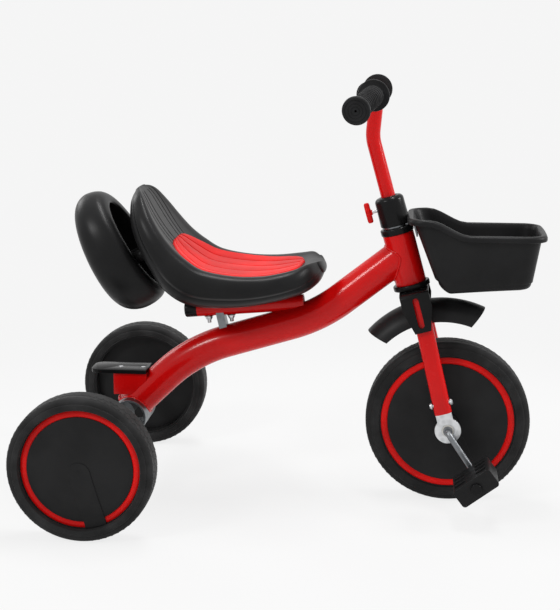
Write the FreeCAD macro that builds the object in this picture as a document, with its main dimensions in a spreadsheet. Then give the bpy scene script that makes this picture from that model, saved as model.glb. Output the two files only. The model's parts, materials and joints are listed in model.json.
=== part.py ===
"""A child's tricycle as a parametric document, in millimetres.

+X is forward, +Y is the rider's left and +Z is up. The origin is on the floor, half way along the
tricycle's length, and the steering is straight ahead.
"""
import FreeCAD, Part
import math
import os
import Sketcher
from FreeCAD import Placement, Rotation, Vector

SIZES = {
    # overall layout
    "rear_axle_x": -275,        # the rear axle, behind the origin
    "wheelbase": 516,           # rear axle to front axle
    "head_angle": 15.5,         # lean of the steering axis, degrees back from upright
    # wheels: tyre, rim, disc cover and red ring
    "front_wheel_radius": 125,
    "rear_wheel_radius": 106,
    "tyre_half_width": 22,
    "tyre_shoulder": 9,         # rounding between tread and sidewall
    "front_tyre_depth": 22.5,
    "rear_tyre_depth": 19,
    "rim_wall": 3,
    "web_thickness": 4,
    "hub_radius": 16,
    "cover_wall": 2.5,
    "ring_margin": 1.5,         # the ring's edge inside the tyre's bore
    "ring_depth": 3,
    "front_ring_width": 10,
    "rear_ring_width": 9,
    "front_ring_recess": 2,     # the ring's face below the tyre's side
    "rear_ring_recess": 8,
    "cover_rise": 7,            # the dome's height over the ring's face
    "arm_width": 31,            # raised arm from hub to rim, which interrupts the ring
    "front_arm_reach": 20,      # where the arm's round end starts, out from the axle
    "rear_arm_reach": -12,      # on the rear it starts before the axle
    "arm_height": 1.4,
    "front_arm_angle": 22,      # the arm ahead of straight down, degrees
    "rear_arm_angle": 15,
    "trim_fit": 0.2,            # gap round the pressed-in trim
    "running_fit": 0.06,        # radial clearance of what turns on a shaft
    # rear axle
    "rear_wheel_offset": 223,   # wheel's middle plane to the tricycle's middle plane
    "rear_hub_inner": 26,       # hub's reach from the wheel's middle plane towards the frame
    "axle_radius": 6,
    "axle_end": 16,             # axle's reach past the wheel's middle plane
    "axle_nut_radius": 10,
    "axle_nut_thickness": 5,
    "sleeve_radius": 14,
    "hub_gap": 0.5,             # play between a wheel and what stands beside it
    "bracket_half_width": 40,
    "bracket_eye_radius": 19,
    "saddle_radius": 27,
    "saddle_x": 27,             # the saddle's axis, ahead of the axle
    "saddle_z": 17,             # and above it
    "bracket_wall": 3,
    # frame tubes
    "tube_radius": 25,
    "tube_wall": 2,
    "tube_start": 20,           # the main tube's lower end, up its first run from the axle
    "low_bend_x": 121,          # corners of the main tube's path, from the rear axle
    "low_bend_z": 116,
    "high_bend_x": 318,
    "high_bend_z": 176,
    "tube_bend_radius": 240,
    "tube_joint_height": 266,   # where the main tube meets the steering axis, from the front axle
    "head_tube_radius": 23.5,
    "head_tube_wall": 2.5,
    "head_tube_bottom": 220,    # along the steering axis, from the front axle
    "head_tube_top": 298,
    # headset bushes, steerer and crown
    "bush_plug": 14,
    "upper_flange_radius": 25,
    "upper_flange": 10,
    "lower_flange_radius": 28,
    "lower_flange": 8,
    "steerer_radius": 13,
    "steerer_bottom": 190,
    "steerer_top": 345,
    "stem_radius": 10.8,
    "stem_fit": 0.1,            # radial clearance of the stem in the steerer
    "stem_wall": 1.5,
    "turn_gap": 0.4,            # between faces that turn past each other
    "crown_thickness": 5,
    "crown_half_length": 17,
    # fork legs and dropouts
    "leg_length": 26,           # the leg's section, fore and aft
    "leg_width": 16,
    "leg_wall": 1.6,
    "leg_top_lead": 6,          # the leg's top ahead of the steering axis
    "leg_top_spread": 40,
    "leg_foot_spread": 60,
    "leg_foot": 27,             # the leg's lower end above the axle
    "dropout_radius": 19.5,
    "dropout_shoulder": 12,     # half width below the leg
    "dropout_neck": 6.5,        # half width of the neck inside the leg
    "dropout_top": 46,
    "dropout_thickness": 5,
    "dropout_inner": 59,        # inner face from the middle plane
    "cross_bolt_height": 41,
    "cross_bolt_radius": 2.5,
    "cross_head_radius": 5,
    "cross_head": 4,
    "axle_bush_radius": 9,
    "axle_bush_flange": 12,
    "axle_bush_lip": 1.5,
    # crank and pedals
    "crank_radius": 4.5,
    "crank_length": 72,
    "crank_angle": 56,          # right crank below the horizontal, degrees
    "crank_plane": 77,
    "crank_bend": 7,
    "spindle_end": 148,
    "hub_nut_radius": 7,
    "hub_nut_thickness": 4,
    "pedal_length": 63,
    "pedal_thickness": 29,
    "pedal_width": 60,
    "pedal_inner": 85,
    "pedal_angle": 37,          # right pedal's nose above the horizontal, degrees
    "pedal_slot": 9,
    "pedal_corner": 5,
    "pedal_cap_radius": 8,
    "pedal_cap_thickness": 4,
    # stem, cap, knob
    "stem_bottom": 262,
    "stem_bend_drop": 64,       # the stem's bend, below the bar
    "stem_bend_radius": 60,
    "bar_reach": 24.4,          # the bar ahead of the steering axis
    "bar_height": 511,          # along the steering axis, from the front axle
    "cap_radius": 22.5,
    "cap_bottom": 311,
    "cap_top": 356,
    "cap_shoulder": 8,
    "knob_height": 338,
    "knob_start": 30,           # knob's near face behind the steering axis
    "knob_thickness": 10,
    "knob_length": 32,
    "knob_width": 9,
    "knob_screw_radius": 2.5,
    # handlebar and grips
    "bar_lean": 36,             # plane of the swept bar, degrees above the horizontal
    "bar_straight": 76,         # half length of the straight middle
    "bar_sweep": 26.7,
    "bar_half_span": 211.5,
    "bar_bend_radius": 60,
    "grip_length": 128,
    "grip_radius": 14.5,
    "grip_guard_radius": 23,
    "grip_guard": 5,
    "grip_end_radius": 19.6,
    "grip_end": 7,
    "grip_closed": 3,
    "grip_vent": 1.5,
    # crown cover and fender
    "shroud_wall": 2.5,
    "shroud_half_length": 22,
    "shroud_lead": 2,
    "shroud_top_spread": 52.5,
    "shroud_foot_spread": 60,
    "shroud_foot": 153,
    "shroud_shoulder": 7,
    "shroud_tip_radius": 12,
    "shroud_neck": 192,         # where the sides start to narrow
    "slot_half_width": 4.5,
    "slot_bottom": 164,
    "slot_top": 200,
    "fender_centre": 40,        # the centre of the fender's arc, above the front axle
    "fender_radius": 150,       # its ridge
    "fender_depth": 30,         # ridge to edge
    "fender_half_width": 35,
    "fender_wall": 2.5,
    "fender_lean": 12.5,        # the fender's middle behind the vertical, degrees
    "fender_half_span": 37.4,
    "fender_corner": 7,         # how much earlier its lower corners end, degrees
    "fender_screw_radius": 3,
    # basket and its bracket
    "strap_thickness": 2.5,
    "strap_ring_radius": 20,
    "strap_half_width": 13,
    "strap_front": 28.4,
    "strap_bottom": 287,
    "basket_half_width": 65,
    "basket_floor_half_width": 54,
    "basket_length": 181,
    "basket_rear_height": 10,
    "basket_front_drop": 12,
    "basket_depth": 102,        # the floor's lowest place below the strap's top
    "basket_toe_depth": 94,     # the floor at the front
    "basket_heel": 31,          # the rear wall's foot, ahead of the strap
    "basket_heel_depth": 84,
    "basket_keel": 52,          # where the floor is lowest
    "basket_chin": 7,           # the front wall's lean, foot to rim
    "basket_toe": 15,           # the slope between floor and front wall
    "basket_over": 3,           # how far the basket's back reaches over its strap
    "basket_step": 26,          # where the rim starts to step down
    "basket_step_length": 54,
    "basket_wall": 2.5,
    "basket_corner": 18,
    "lip_width": 8,
    "lip_height": 8,
    "lip_rear": 3,
    # footboard
    "board_rear": 36,           # behind the rear axle
    "board_front": 52,
    "board_half_width": 24,
    "board_thickness": 6,
    "board_bottom": 82,         # above the rear axle
    "board_corner": 14,
    "board_support_half_width": 20,
    "board_support_drop": 34,
    "board_support_wall": 2.5,
    "board_screw_radius": 4.5,
    "board_screw_head": 2,      # sunk flush with the board
    "board_screw_first": 8,     # screws ahead of the rear axle
    "board_screw_second": 43,
    # seat bar
    "seat_bar_radius": 12,
    "seat_bar_wall": 1.8,
    "seat_bar_rear_x": 111,     # the bar's rear end from the rear axle
    "seat_bar_rear_z": 181,
    "seat_bar_angle": 4.9,
    "seat_bar_length": 185,
    "plug_head": 19,            # the part of the plug outside the bar
    "plug_length": 31,
    "stay_width": 12,
    "stay_thickness": 20,
    "seat_bolt_radius": 3,
    "seat_bolt_head": 5.5,
    "seat_bolt_drop": 11,
    "seat_bolt_bite": 5,        # into the seat's floor
    "seat_bolt_rear": 36,       # bolts along the bar from its rear end
    "seat_bolt_front": 71,
    # seat and bin
    "seat_channel_fit": 0.3,
    "seat_half_width": 115,
    "seat_wall": 4,
    "seat_floor": 14,
    "pad_thickness": 5,
    "bin_half_length": 95,
    "bin_half_width": 80,
    "bin_depth": 68,
    "bin_wedge": 9,             # the mouth's tilt: its lower end stands further out, degrees
    "bin_wall": 4,
    "bin_rim": 23,
    "bin_floor": 6,
    "bin_lean": 25,
    "bin_x": -26,               # the bin's rear face centre from the rear axle
    "bin_z": 257,
    "bin_post_radius": 9,
    "bin_post_spread": 26,
    "bin_post_drop": 20,        # below the bin's middle
    "bin_screw_radius": 2.5,
    "bin_screw_length": 92,
}

BIN_POINTS = 24                 # points on each oval of the bin

doc = FreeCAD.newDocument("tricycle")
sheet = doc.addObject("Spreadsheet::Sheet", "Sizes")
for row, (alias, number) in enumerate(SIZES.items(), start=1):
    sheet.set(f"A{row}", alias)
    sheet.set(f"B{row}", str(number))
    sheet.setAlias(f"B{row}", alias)
doc.recompute()


class Size:
    """A length or angle: its number, and the sheet expression that keeps it up to date."""

    def __init__(self, number, text):
        self.number = float(number)
        self.text = text

    @staticmethod
    def of(value):
        return value if isinstance(value, Size) else Size(value, f"({value!r})")

    def joined(self, other, sign, number):
        return Size(number, f"({self.text} {sign} {other.text})")

    def __add__(self, other):
        other = Size.of(other)
        return self.joined(other, "+", self.number + other.number)

    def __sub__(self, other):
        other = Size.of(other)
        return self.joined(other, "-", self.number - other.number)

    def __mul__(self, other):
        other = Size.of(other)
        return self.joined(other, "*", self.number * other.number)

    def __truediv__(self, other):
        other = Size.of(other)
        return self.joined(other, "/", self.number / other.number)

    def __radd__(self, other):
        return Size.of(other) + self

    def __rsub__(self, other):
        return Size.of(other) - self

    def __rmul__(self, other):
        return Size.of(other) * self

    def __neg__(self):
        return Size.of(0) - self

    def __float__(self):
        return self.number


class Sheet:
    """Attribute access to the sheet's cells."""

    def __getattr__(self, alias):
        return Size(sheet.get(alias), f"Sizes.{alias}")


size = Sheet()
ZERO = Size(0, "0")


def sine(angle):
    return Size(math.sin(math.radians(angle.number)), f"sin({angle.text} * 1 deg)")


def cosine(angle):
    return Size(math.cos(math.radians(angle.number)), f"cos({angle.text} * 1 deg)")


def slope(rise, run):
    """The angle, in degrees, whose tangent is rise over run."""
    angle = math.degrees(math.atan2(rise.number, run.number))
    return Size(angle, f"(atan2({rise.text}; {run.text}) / 1 deg)")


class Frame:
    """A local coordinate system, as a sheet expression that a Placement is bound to."""

    def __init__(self, text="placement(vector(0; 0; 0); rotation(vector(0; 0; 1); 0))"):
        self.text = text

    def moved(self, x=ZERO, y=ZERO, z=ZERO):
        parts = "; ".join(Size.of(value).text for value in (x, y, z))
        return Frame(f"{self.text} * placement(vector({parts}); rotation(vector(0; 0; 1); 0))")

    def turned(self, axis, angle):
        name = {"+X": "1; 0; 0", "+Y": "0; 1; 0", "-Y": "0; -1; 0", "+Z": "0; 0; 1"}[axis]
        angle = Size.of(angle).text
        return Frame(f"{self.text} * placement(vector(0; 0; 0); rotation(vector({name}); {angle}))")


WORLD = Frame()
REAR_AXLE = WORLD.moved(size.rear_axle_x, 0, size.rear_wheel_radius)
FRONT_AXLE = WORLD.moved(size.rear_axle_x + size.wheelbase, 0, size.front_wheel_radius)
STEERING = FRONT_AXLE.turned("-Y", size.head_angle)
SIDES = {"left": 1, "right": -1}
NODES = []


def keep(part, label, frame=None):
    """Makes an object one of the tricycle's pieces, under the name that its file gets."""
    part.Label = label
    if frame is not None:
        part.setExpression("Placement", frame.text)
    NODES.append(part)
    return part


def body(name, frame=WORLD):
    made = doc.addObject("PartDesign::Body", name)
    made.setExpression("Placement", frame.text)
    return made


def sketch(owner, name, plane="XY_Plane", lift=None):
    """A sketch on one of a body's origin planes, or lifted along that plane's normal."""
    made = owner.newObject("Sketcher::SketchObject", name)
    support = [feature for feature in owner.Origin.OriginFeatures if feature.Role == plane]
    made.AttachmentSupport = [(support[0], "")]
    made.MapMode = "FlatFace"
    if lift is not None:
        made.setExpression("AttachmentOffset.Base.z", Size.of(lift).text)
    return made


def fix(drawing, kind, *where):
    """Adds a constraint whose last argument is a Size, bound to the sheet."""
    *place, value = where
    value = Size.of(value)
    index = drawing.addConstraint(Sketcher.Constraint(kind, *place, value.number))
    drawing.setExpression(f"Constraints[{index}]", value.text)


def pin(drawing, geometry, end, x, y):
    """Fixes a point of the sketch at x, y from its origin."""
    fix(drawing, "DistanceX", -1, 1, geometry, end, x)
    fix(drawing, "DistanceY", -1, 1, geometry, end, y)


def circle(drawing, x, y, radius):
    x, y, radius = Size.of(x), Size.of(y), Size.of(radius)
    edge = Part.Circle(Vector(x.number, y.number, 0), Vector(0, 0, 1), radius.number)
    index = drawing.addGeometry(edge, False)
    pin(drawing, index, 3, x, y)
    fix(drawing, "Radius", index, radius)


def ellipse(drawing, wide, tall):
    """An ellipse about the sketch's origin, the longer half axis along its own direction."""
    wide, tall = Size.of(wide), Size.of(tall)
    flat = wide.number >= tall.number
    major, minor = (wide, tall) if flat else (tall, wide)
    direction = Vector(1, 0, 0) if flat else Vector(0, 1, 0)
    side = Vector(-direction.y, direction.x, 0)
    shape = Part.Ellipse(direction * major.number, side * minor.number, Vector())
    index = drawing.addGeometry(shape, False)
    drawing.exposeInternalGeometry(index)
    drawing.addConstraint(Sketcher.Constraint("Coincident", index, 3, -1, 1))
    fix(drawing, "Distance", index + 1, major * 2)
    fix(drawing, "Distance", index + 2, minor * 2)
    drawing.addConstraint(Sketcher.Constraint("Horizontal" if flat else "Vertical", index + 1))


def outline(drawing, corners):
    """A closed outline through corners (x, y) or (x, y, radius).

    A radius makes the edge that leaves that corner an arc: positive bulges to the right of the
    way round, negative to the left.
    """
    points = [(Size.of(corner[0]), Size.of(corner[1])) for corner in corners]
    edges = []
    for number, corner in enumerate(corners):
        start = Vector(*[value.number for value in points[number]], 0)
        end = Vector(*[value.number for value in points[(number + 1) % len(points)]], 0)
        if len(corner) == 2:
            index = drawing.addGeometry(Part.LineSegment(start, end), False)
            edges.append((index, 1, 2))
            continue
        radius = Size.of(corner[2])
        chord = end - start
        left = Vector(-chord.y, chord.x, 0).normalize()
        height = math.sqrt(max(radius.number ** 2 - (chord.Length / 2) ** 2, 0))
        turn = 1 if radius.number > 0 else -1
        centre = (start + end) / 2 + left * height * turn
        first, last = (start, end) if turn > 0 else (end, start)
        angles = [math.atan2((point - centre).y, (point - centre).x) for point in (first, last)]
        ring = Part.Circle(centre, Vector(0, 0, 1), abs(radius.number))
        index = drawing.addGeometry(Part.ArcOfCircle(ring, *angles), False)
        edges.append((index, 1, 2) if turn > 0 else (index, 2, 1))
        fix(drawing, "Radius", index, radius if turn > 0 else -radius)
    for number, (index, start, end) in enumerate(edges):
        following = edges[(number + 1) % len(edges)]
        drawing.addConstraint(Sketcher.Constraint("Coincident", index, end, following[0], following[1]))
        pin(drawing, index, start, *points[number])


def route(drawing, points, bend):
    """Straight runs through the points, joined by tangent arcs of one radius."""
    points = [(Size.of(x), Size.of(y)) for x, y in points]
    spots = [Vector(x.number, y.number, 0) for x, y in points]
    runs = [(spots[i + 1] - spots[i]).normalize() for i in range(len(spots) - 1)]
    cuts = [0]
    for before, after in zip(runs, runs[1:]):
        cuts.append(float(bend) * math.tan(before.getAngle(after) / 2))
    cuts.append(0)
    lines = []
    for number, run in enumerate(runs):
        start = spots[number] + run * cuts[number]
        end = spots[number + 1] - run * cuts[number + 1]
        lines.append(drawing.addGeometry(Part.LineSegment(start, end), False))
    for number, (before, after) in enumerate(zip(runs, runs[1:])):
        turn = 1 if before.cross(after).z > 0 else -1
        start = spots[number + 1] - before * cuts[number + 1]
        end = spots[number + 1] + after * cuts[number + 1]
        centre = start + Vector(-before.y, before.x, 0) * float(bend) * turn
        first, last = (start, end) if turn > 0 else (end, start)
        angles = [math.atan2((point - centre).y, (point - centre).x) for point in (first, last)]
        ring = Part.Circle(centre, Vector(0, 0, 1), float(bend))
        arc = drawing.addGeometry(Part.ArcOfCircle(ring, *angles), False)
        near, far = (1, 2) if turn > 0 else (2, 1)
        drawing.addConstraint(Sketcher.Constraint("Tangent", lines[number], 2, arc, near))
        drawing.addConstraint(Sketcher.Constraint("Tangent", lines[number + 1], 1, arc, far))
        fix(drawing, "Radius", arc, bend)
        corner = drawing.addGeometry(Part.Point(spots[number + 1]), True)
        pin(drawing, corner, 1, *points[number + 1])
        for line in (lines[number], lines[number + 1]):
            drawing.addConstraint(Sketcher.Constraint("PointOnObject", corner, 1, line))
    pin(drawing, lines[0], 1, *points[0])
    pin(drawing, lines[-1], 2, *points[-1])


def pad(owner, drawing, length, side="One side", backwards=False):
    made = owner.newObject("PartDesign::Pad", drawing.Name + "_pad")
    made.Profile = drawing
    made.SideType = side
    made.Reversed = backwards
    made.setExpression("Length", Size.of(length).text)
    owner.Tip = made
    return made


def pocket(owner, drawing, length, side="Symmetric", backwards=False):
    """Cuts a drawing out of the body, and makes sure that it took something away."""
    doc.recompute()
    before = owner.Shape.Volume
    made = owner.newObject("PartDesign::Pocket", drawing.Name + "_pocket")
    made.Profile = drawing
    made.SideType = side
    made.Reversed = backwards
    made.setExpression("Length", Size.of(length).text)
    owner.Tip = made
    doc.recompute()
    if owner.Shape.Volume >= before:
        raise RuntimeError(f"{made.Name} cut nothing")
    return made


def spin(owner, drawing, axis="V_Axis", kind="PartDesign::Revolution", angle=None):
    """A solid turned, or a groove cut, about one of the drawing's axes."""
    made = owner.newObject(kind, drawing.Name + "_turned")
    made.Profile = drawing
    made.ReferenceAxis = (drawing, [axis])
    made.Angle = 360
    if angle is not None:
        made.Midplane = True
        made.setExpression("Angle", angle.text)
    owner.Tip = made
    return made


def turned_piece(label, frame, corners, plane="XZ_Plane"):
    """A piece turned about its own upright axis, or about Y when drawn on the XY plane."""
    made = body(label, frame)
    drawing = sketch(made, label + "_profile", plane)
    outline(drawing, corners)
    spin(made, drawing)
    return made


def tube_along(owner, label, path, radius, wall, plane, lift=None, x=ZERO, tilt=None):
    """A round tube swept along a drawn path, its section on the plane where the path starts.

    A tilt leans the section's plane, so that its normal rises by that angle from +X to +Z.
    """
    profile = sketch(owner, label + "_section", plane, None if tilt else lift)
    if tilt is not None:
        steep = f"placement(vector(0; 0; 0); rotation(vector(0; 1; 0); 90 - {tilt.text}))"
        profile.setExpression("AttachmentOffset", f"{steep} * placement(vector(0; 0; {lift.text}); "
                              "rotation(vector(0; 0; 1); 0))")
    circle(profile, x, 0, radius)
    if wall is not None:
        circle(profile, x, 0, radius - wall)
    made = owner.newObject("PartDesign::AdditivePipe", label + "_sweep")
    made.Profile = profile
    made.Spine = path
    owner.Tip = made
    return made


def cylinder(name, frame, radius, height):
    """A solid cylinder that stands on its frame's XY plane."""
    made = doc.addObject("Part::Cylinder", name)
    made.setExpression("Radius", Size.of(radius).text)
    made.setExpression("Height", Size.of(height).text)
    made.setExpression("Placement", frame.text)
    return made


def cut(name, base, *tools):
    for number, tool in enumerate(tools):
        made = doc.addObject("Part::Cut", f"{name}_cut{number}")
        made.Base = base
        made.Tool = tool
        base = made
    return base


def fused(name, *shapes):
    made = doc.addObject("Part::MultiFuse", name + "_fused")
    made.Shapes = list(shapes)
    return made


def grouped(name, *shapes):
    """Separate solids under one name, such as a set of screws."""
    made = doc.addObject("Part::Compound", name + "_set")
    made.Links = list(shapes)
    return made


# ---------------------------------------------------------------- wheels

class Wheel:
    """The radii and axial places of a front or rear wheel, measured from its own middle."""

    def __init__(self, kind):
        self.kind = kind
        self.radius = getattr(size, kind + "_wheel_radius")
        self.bore = self.radius - getattr(size, kind + "_tyre_depth")
        self.ring_outer = self.bore - size.ring_margin
        self.ring_inner = self.ring_outer - getattr(size, kind + "_ring_width")
        self.face = size.tyre_half_width - getattr(size, kind + "_ring_recess")
        self.floor = self.face - size.ring_depth
        self.seat = self.floor - size.cover_wall
        self.top = self.face + size.cover_rise
        self.arm_angle = getattr(size, kind + "_arm_angle")
        self.arm_reach = getattr(size, kind + "_arm_reach")


def tyre(label, frame, wheel):
    """A solid tyre with rounded shoulders."""
    side, shoulder = size.tyre_half_width, size.tyre_shoulder
    corners = [
        (wheel.bore, -side + 2),
        (wheel.radius - shoulder, -side, shoulder),
        (wheel.radius, -side + shoulder),
        (wheel.radius, side - shoulder, shoulder),
        (wheel.radius - shoulder, side),
        (wheel.bore, side - 2),
    ]
    keep(turned_piece(label, frame, corners, "XY_Plane"), label)


def rim(label, frame, wheel, bore, hub_low, hub_high, barrel_low):
    """Barrel, web and hub of the moulded wheel."""
    inner, web = wheel.bore - size.rim_wall, size.web_thickness
    corners = [
        (bore, hub_low), (size.hub_radius, hub_low), (size.hub_radius, -web / 2), (inner, -web / 2),
        (inner, barrel_low), (wheel.bore, barrel_low), (wheel.bore, wheel.seat), (inner, wheel.seat),
        (inner, web / 2), (size.hub_radius, web / 2), (size.hub_radius, hub_high), (bore, hub_high),
    ]
    keep(turned_piece(label, frame, corners, "XY_Plane"), label)


def arc_radius(run, rise):
    """Radius of the arc that starts level and drops by rise over run."""
    return (run * run + rise * rise) / (rise * 2)


def arm_outline(drawing, wheel, grow):
    """The arm's plan: straight sides with a round end towards the hub, pointing down."""
    half = size.arm_width / 2 + grow
    low = wheel.ring_outer + size.trim_fit
    outline(drawing, [
        (-half, -low), (half, -low), (half, -wheel.arm_reach - half, half), (ZERO, -wheel.arm_reach, half),
        (-half, -wheel.arm_reach - half),
    ])


def disc_cover(label, frame, wheel, side, hole):
    """A domed disc with a channel for the ring and a raised arm across it."""
    made = body(label, frame)
    edge = size.trim_fit
    ring_inner, ring_outer = wheel.ring_inner - edge, wheel.ring_outer + edge
    lift = wheel.face + size.arm_height
    blank = sketch(made, label + "_arm", "XZ_Plane", -side * wheel.seat)
    arm_outline(blank, wheel, ZERO)
    pad(made, blank, wheel.top + size.arm_height * 2 - wheel.seat, backwards=side > 0)
    crown = wheel.top + size.arm_height
    trim = sketch(made, label + "_trim")
    dome = arc_radius(ring_inner, size.cover_rise)
    outline(trim, [
        (ZERO, side * crown, -side * dome), (ring_inner, side * lift), (ring_outer + 9, side * lift),
        (ring_outer + 9, side * (crown + 9)), (ZERO, side * (crown + 9)),
    ])
    spin(made, trim, kind="PartDesign::Groove")
    disc = sketch(made, label + "_disc")
    inner_edge = wheel.ring_inner - size.cover_wall * 2
    outline(disc, [
        (hole, side * wheel.top, -side * arc_radius(ring_inner - hole, size.cover_rise)),
        (ring_inner, side * wheel.face), (ring_inner, side * wheel.floor),
        (ring_outer, side * wheel.floor), (ring_outer, side * wheel.face),
        (wheel.bore, side * wheel.face), (wheel.bore, side * wheel.seat),
        (inner_edge, side * wheel.seat), (hole, side * (wheel.top - size.cover_wall)),
    ])
    spin(made, disc)
    cavity = sketch(made, label + "_cavity")
    ceiling = side * (wheel.top - size.cover_wall)
    corners = [(ZERO, side * wheel.seat), (inner_edge, side * wheel.seat), (hole, ceiling), (ZERO, ceiling)]
    outline(cavity, corners if hole.number else corners[:3])
    spin(made, cavity, kind="PartDesign::Groove")
    keep(made, label)


def trim_ring(label, frame, wheel, side):
    """A red ring, left open where the cover's arm crosses it."""
    made = body(label, frame)
    profile = sketch(made, label + "_profile")
    width = wheel.ring_outer - wheel.ring_inner
    outline(profile, [
        (wheel.ring_inner, side * wheel.floor), (wheel.ring_outer, side * wheel.floor),
        (wheel.ring_outer, side * (wheel.face - size.arm_height), side * width),
        (wheel.ring_inner, side * (wheel.face - size.arm_height)),
    ])
    spin(made, profile)
    gap = sketch(made, label + "_gap", "XZ_Plane")
    arm_outline(gap, wheel, size.trim_fit)
    pocket(made, gap, size.tyre_half_width * 4)
    keep(made, label)


def rear_wheel(name, side):
    wheel = Wheel("rear")
    frame = REAR_AXLE.moved(0, side * size.rear_wheel_offset, 0).turned("-Y", wheel.arm_angle)
    outward = frame if side > 0 else frame.turned("+Z", 180)
    bore = size.axle_radius + size.running_fit
    tyre(f"rear_tyre_{name}", frame, wheel)
    barrel_low = -size.tyre_half_width + 4
    rim(f"rear_rim_{name}", outward, wheel, bore, -size.rear_hub_inner, wheel.seat, barrel_low)
    disc_cover(f"rear_cover_{name}", frame, wheel, side, ZERO)
    trim_ring(f"rear_ring_{name}", frame, wheel, side)


def front_wheel():
    wheel = Wheel("front")
    frame = FRONT_AXLE.turned("-Y", wheel.arm_angle)
    half_hub = size.dropout_inner - size.axle_bush_lip - size.hub_gap
    tyre("front_tyre", frame, wheel)
    rim("front_rim", frame, wheel, size.crank_radius, -half_hub, half_hub, -wheel.seat)
    for name, side in SIDES.items():
        disc_cover(f"front_cover_{name}", frame, wheel, side, size.hub_radius + size.trim_fit)
        trim_ring(f"front_ring_{name}", frame, wheel, side)


# ---------------------------------------------------------------- rear axle

def rear_axle():
    """The axle, the sleeve round it and the nuts that hold the wheels on."""
    half = size.rear_wheel_offset + size.axle_end
    side_on = REAR_AXLE.turned("+X", 90)
    keep(cylinder("rear_axle", side_on.moved(0, 0, -half), size.axle_radius, half * 2), "rear_axle")
    reach = size.rear_wheel_offset - size.rear_hub_inner - size.hub_gap
    keep(turned_piece("axle_sleeve", REAR_AXLE, [
        (size.axle_radius, -reach), (size.sleeve_radius, -reach),
        (size.sleeve_radius, reach), (size.axle_radius, reach),
    ], "XY_Plane"), "axle_sleeve")
    wheel = Wheel("rear")
    nut_start = size.rear_wheel_offset + wheel.seat + size.hub_gap
    nuts = []
    for name, side in SIDES.items():
        near, far = side * nut_start, side * (nut_start + size.axle_nut_thickness)
        nuts.append(turned_piece(f"axle_nut_{name}", REAR_AXLE, [
            (size.axle_radius, near), (size.axle_nut_radius, near),
            (size.axle_nut_radius, far), (size.axle_radius, far),
        ], "XY_Plane"))
    keep(grouped("rear_axle_nuts", *nuts), "rear_axle_nuts")


def saddle(name, radius, half_width):
    """A cylinder across the tricycle, on the axis of the saddle that the main tube ends on."""
    across = REAR_AXLE.moved(size.saddle_x, -half_width, size.saddle_z).turned("+X", 90)
    return cylinder(name, across.moved(0, 0, -half_width * 2), radius, half_width * 2)


def axle_bracket():
    """A pressed housing that carries the main tube's end above and ahead of the axle."""
    half = size.bracket_half_width
    across = REAR_AXLE.turned("+X", 90).moved(0, 0, -half)
    eye = cylinder("bracket_eye", across, size.bracket_eye_radius, half * 2)
    hollow = saddle("bracket_hollow", size.saddle_radius - size.bracket_wall, half + 1)
    shell = cut("bracket_saddle", saddle("bracket_saddle", size.saddle_radius, half), hollow)
    bore = cylinder("bracket_bore", across.moved(0, 0, -1), size.sleeve_radius, half * 2 + 2)
    keep(cut("axle_bracket", fused("axle_bracket", shell, eye), bore), "axle_bracket")


# ---------------------------------------------------------------- frame tubes

def head_point(height):
    """A point on the steering axis as x, z from the rear axle."""
    x = size.wheelbase - height * sine(size.head_angle)
    z = size.front_wheel_radius - size.rear_wheel_radius + height * cosine(size.head_angle)
    return x, z


def main_tube_solid(name, radius, wall):
    made = body(name, REAR_AXLE)
    path = sketch(made, name + "_path", "XZ_Plane")
    rise = slope(size.low_bend_z, size.low_bend_x)
    start = size.tube_start
    route(path, [
        (start * cosine(rise), start * sine(rise)), (size.low_bend_x, size.low_bend_z),
        (size.high_bend_x, size.high_bend_z), head_point(size.tube_joint_height),
    ], size.tube_bend_radius)
    tube_along(made, name, path, radius, wall, "XY_Plane", start, tilt=rise)
    return made


def main_tube():
    tube = main_tube_solid("bent_tube", size.tube_radius, size.tube_wall)
    seat = saddle("tube_mitre", size.saddle_radius, size.bracket_half_width)
    eye = cylinder("tube_eye_mitre", REAR_AXLE.turned("+X", 90).moved(0, 0, -size.bracket_half_width),
                   size.bracket_eye_radius, size.bracket_half_width * 2)
    below = size.head_tube_bottom - size.tube_radius * 2
    above = size.head_tube_top - size.head_tube_bottom + size.tube_radius * 4
    column = cylinder("tube_head_mitre", STEERING.moved(0, 0, below), size.head_tube_radius, above)
    keep(cut("main_tube", tube, seat, eye, column), "main_tube")


def head_tube():
    outer, inner = size.head_tube_radius, size.head_tube_radius - size.head_tube_wall
    low, high = size.head_tube_bottom, size.head_tube_top
    corners = [(inner, low), (outer, low), (outer, high), (inner, high)]
    keep(turned_piece("head_tube", STEERING, corners), "head_tube")


def headset_bushes():
    """Flanged plastic bushes pressed into both ends of the head tube."""
    plug, bore = size.head_tube_radius - size.head_tube_wall, size.steerer_radius + size.running_fit
    ends = {
        "upper": (size.head_tube_top, 1, size.upper_flange_radius, size.upper_flange),
        "lower": (size.head_tube_bottom, -1, size.lower_flange_radius, size.lower_flange),
    }
    for name, (level, way, flange, thickness) in ends.items():
        label = f"{name}_headset_bush"
        keep(turned_piece(label, STEERING, [
            (bore, level - way * size.bush_plug), (plug, level - way * size.bush_plug), (plug, level),
            (flange, level), (flange, level + way * thickness), (bore, level + way * thickness),
        ]), label)


# ---------------------------------------------------------------- footboard

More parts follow.
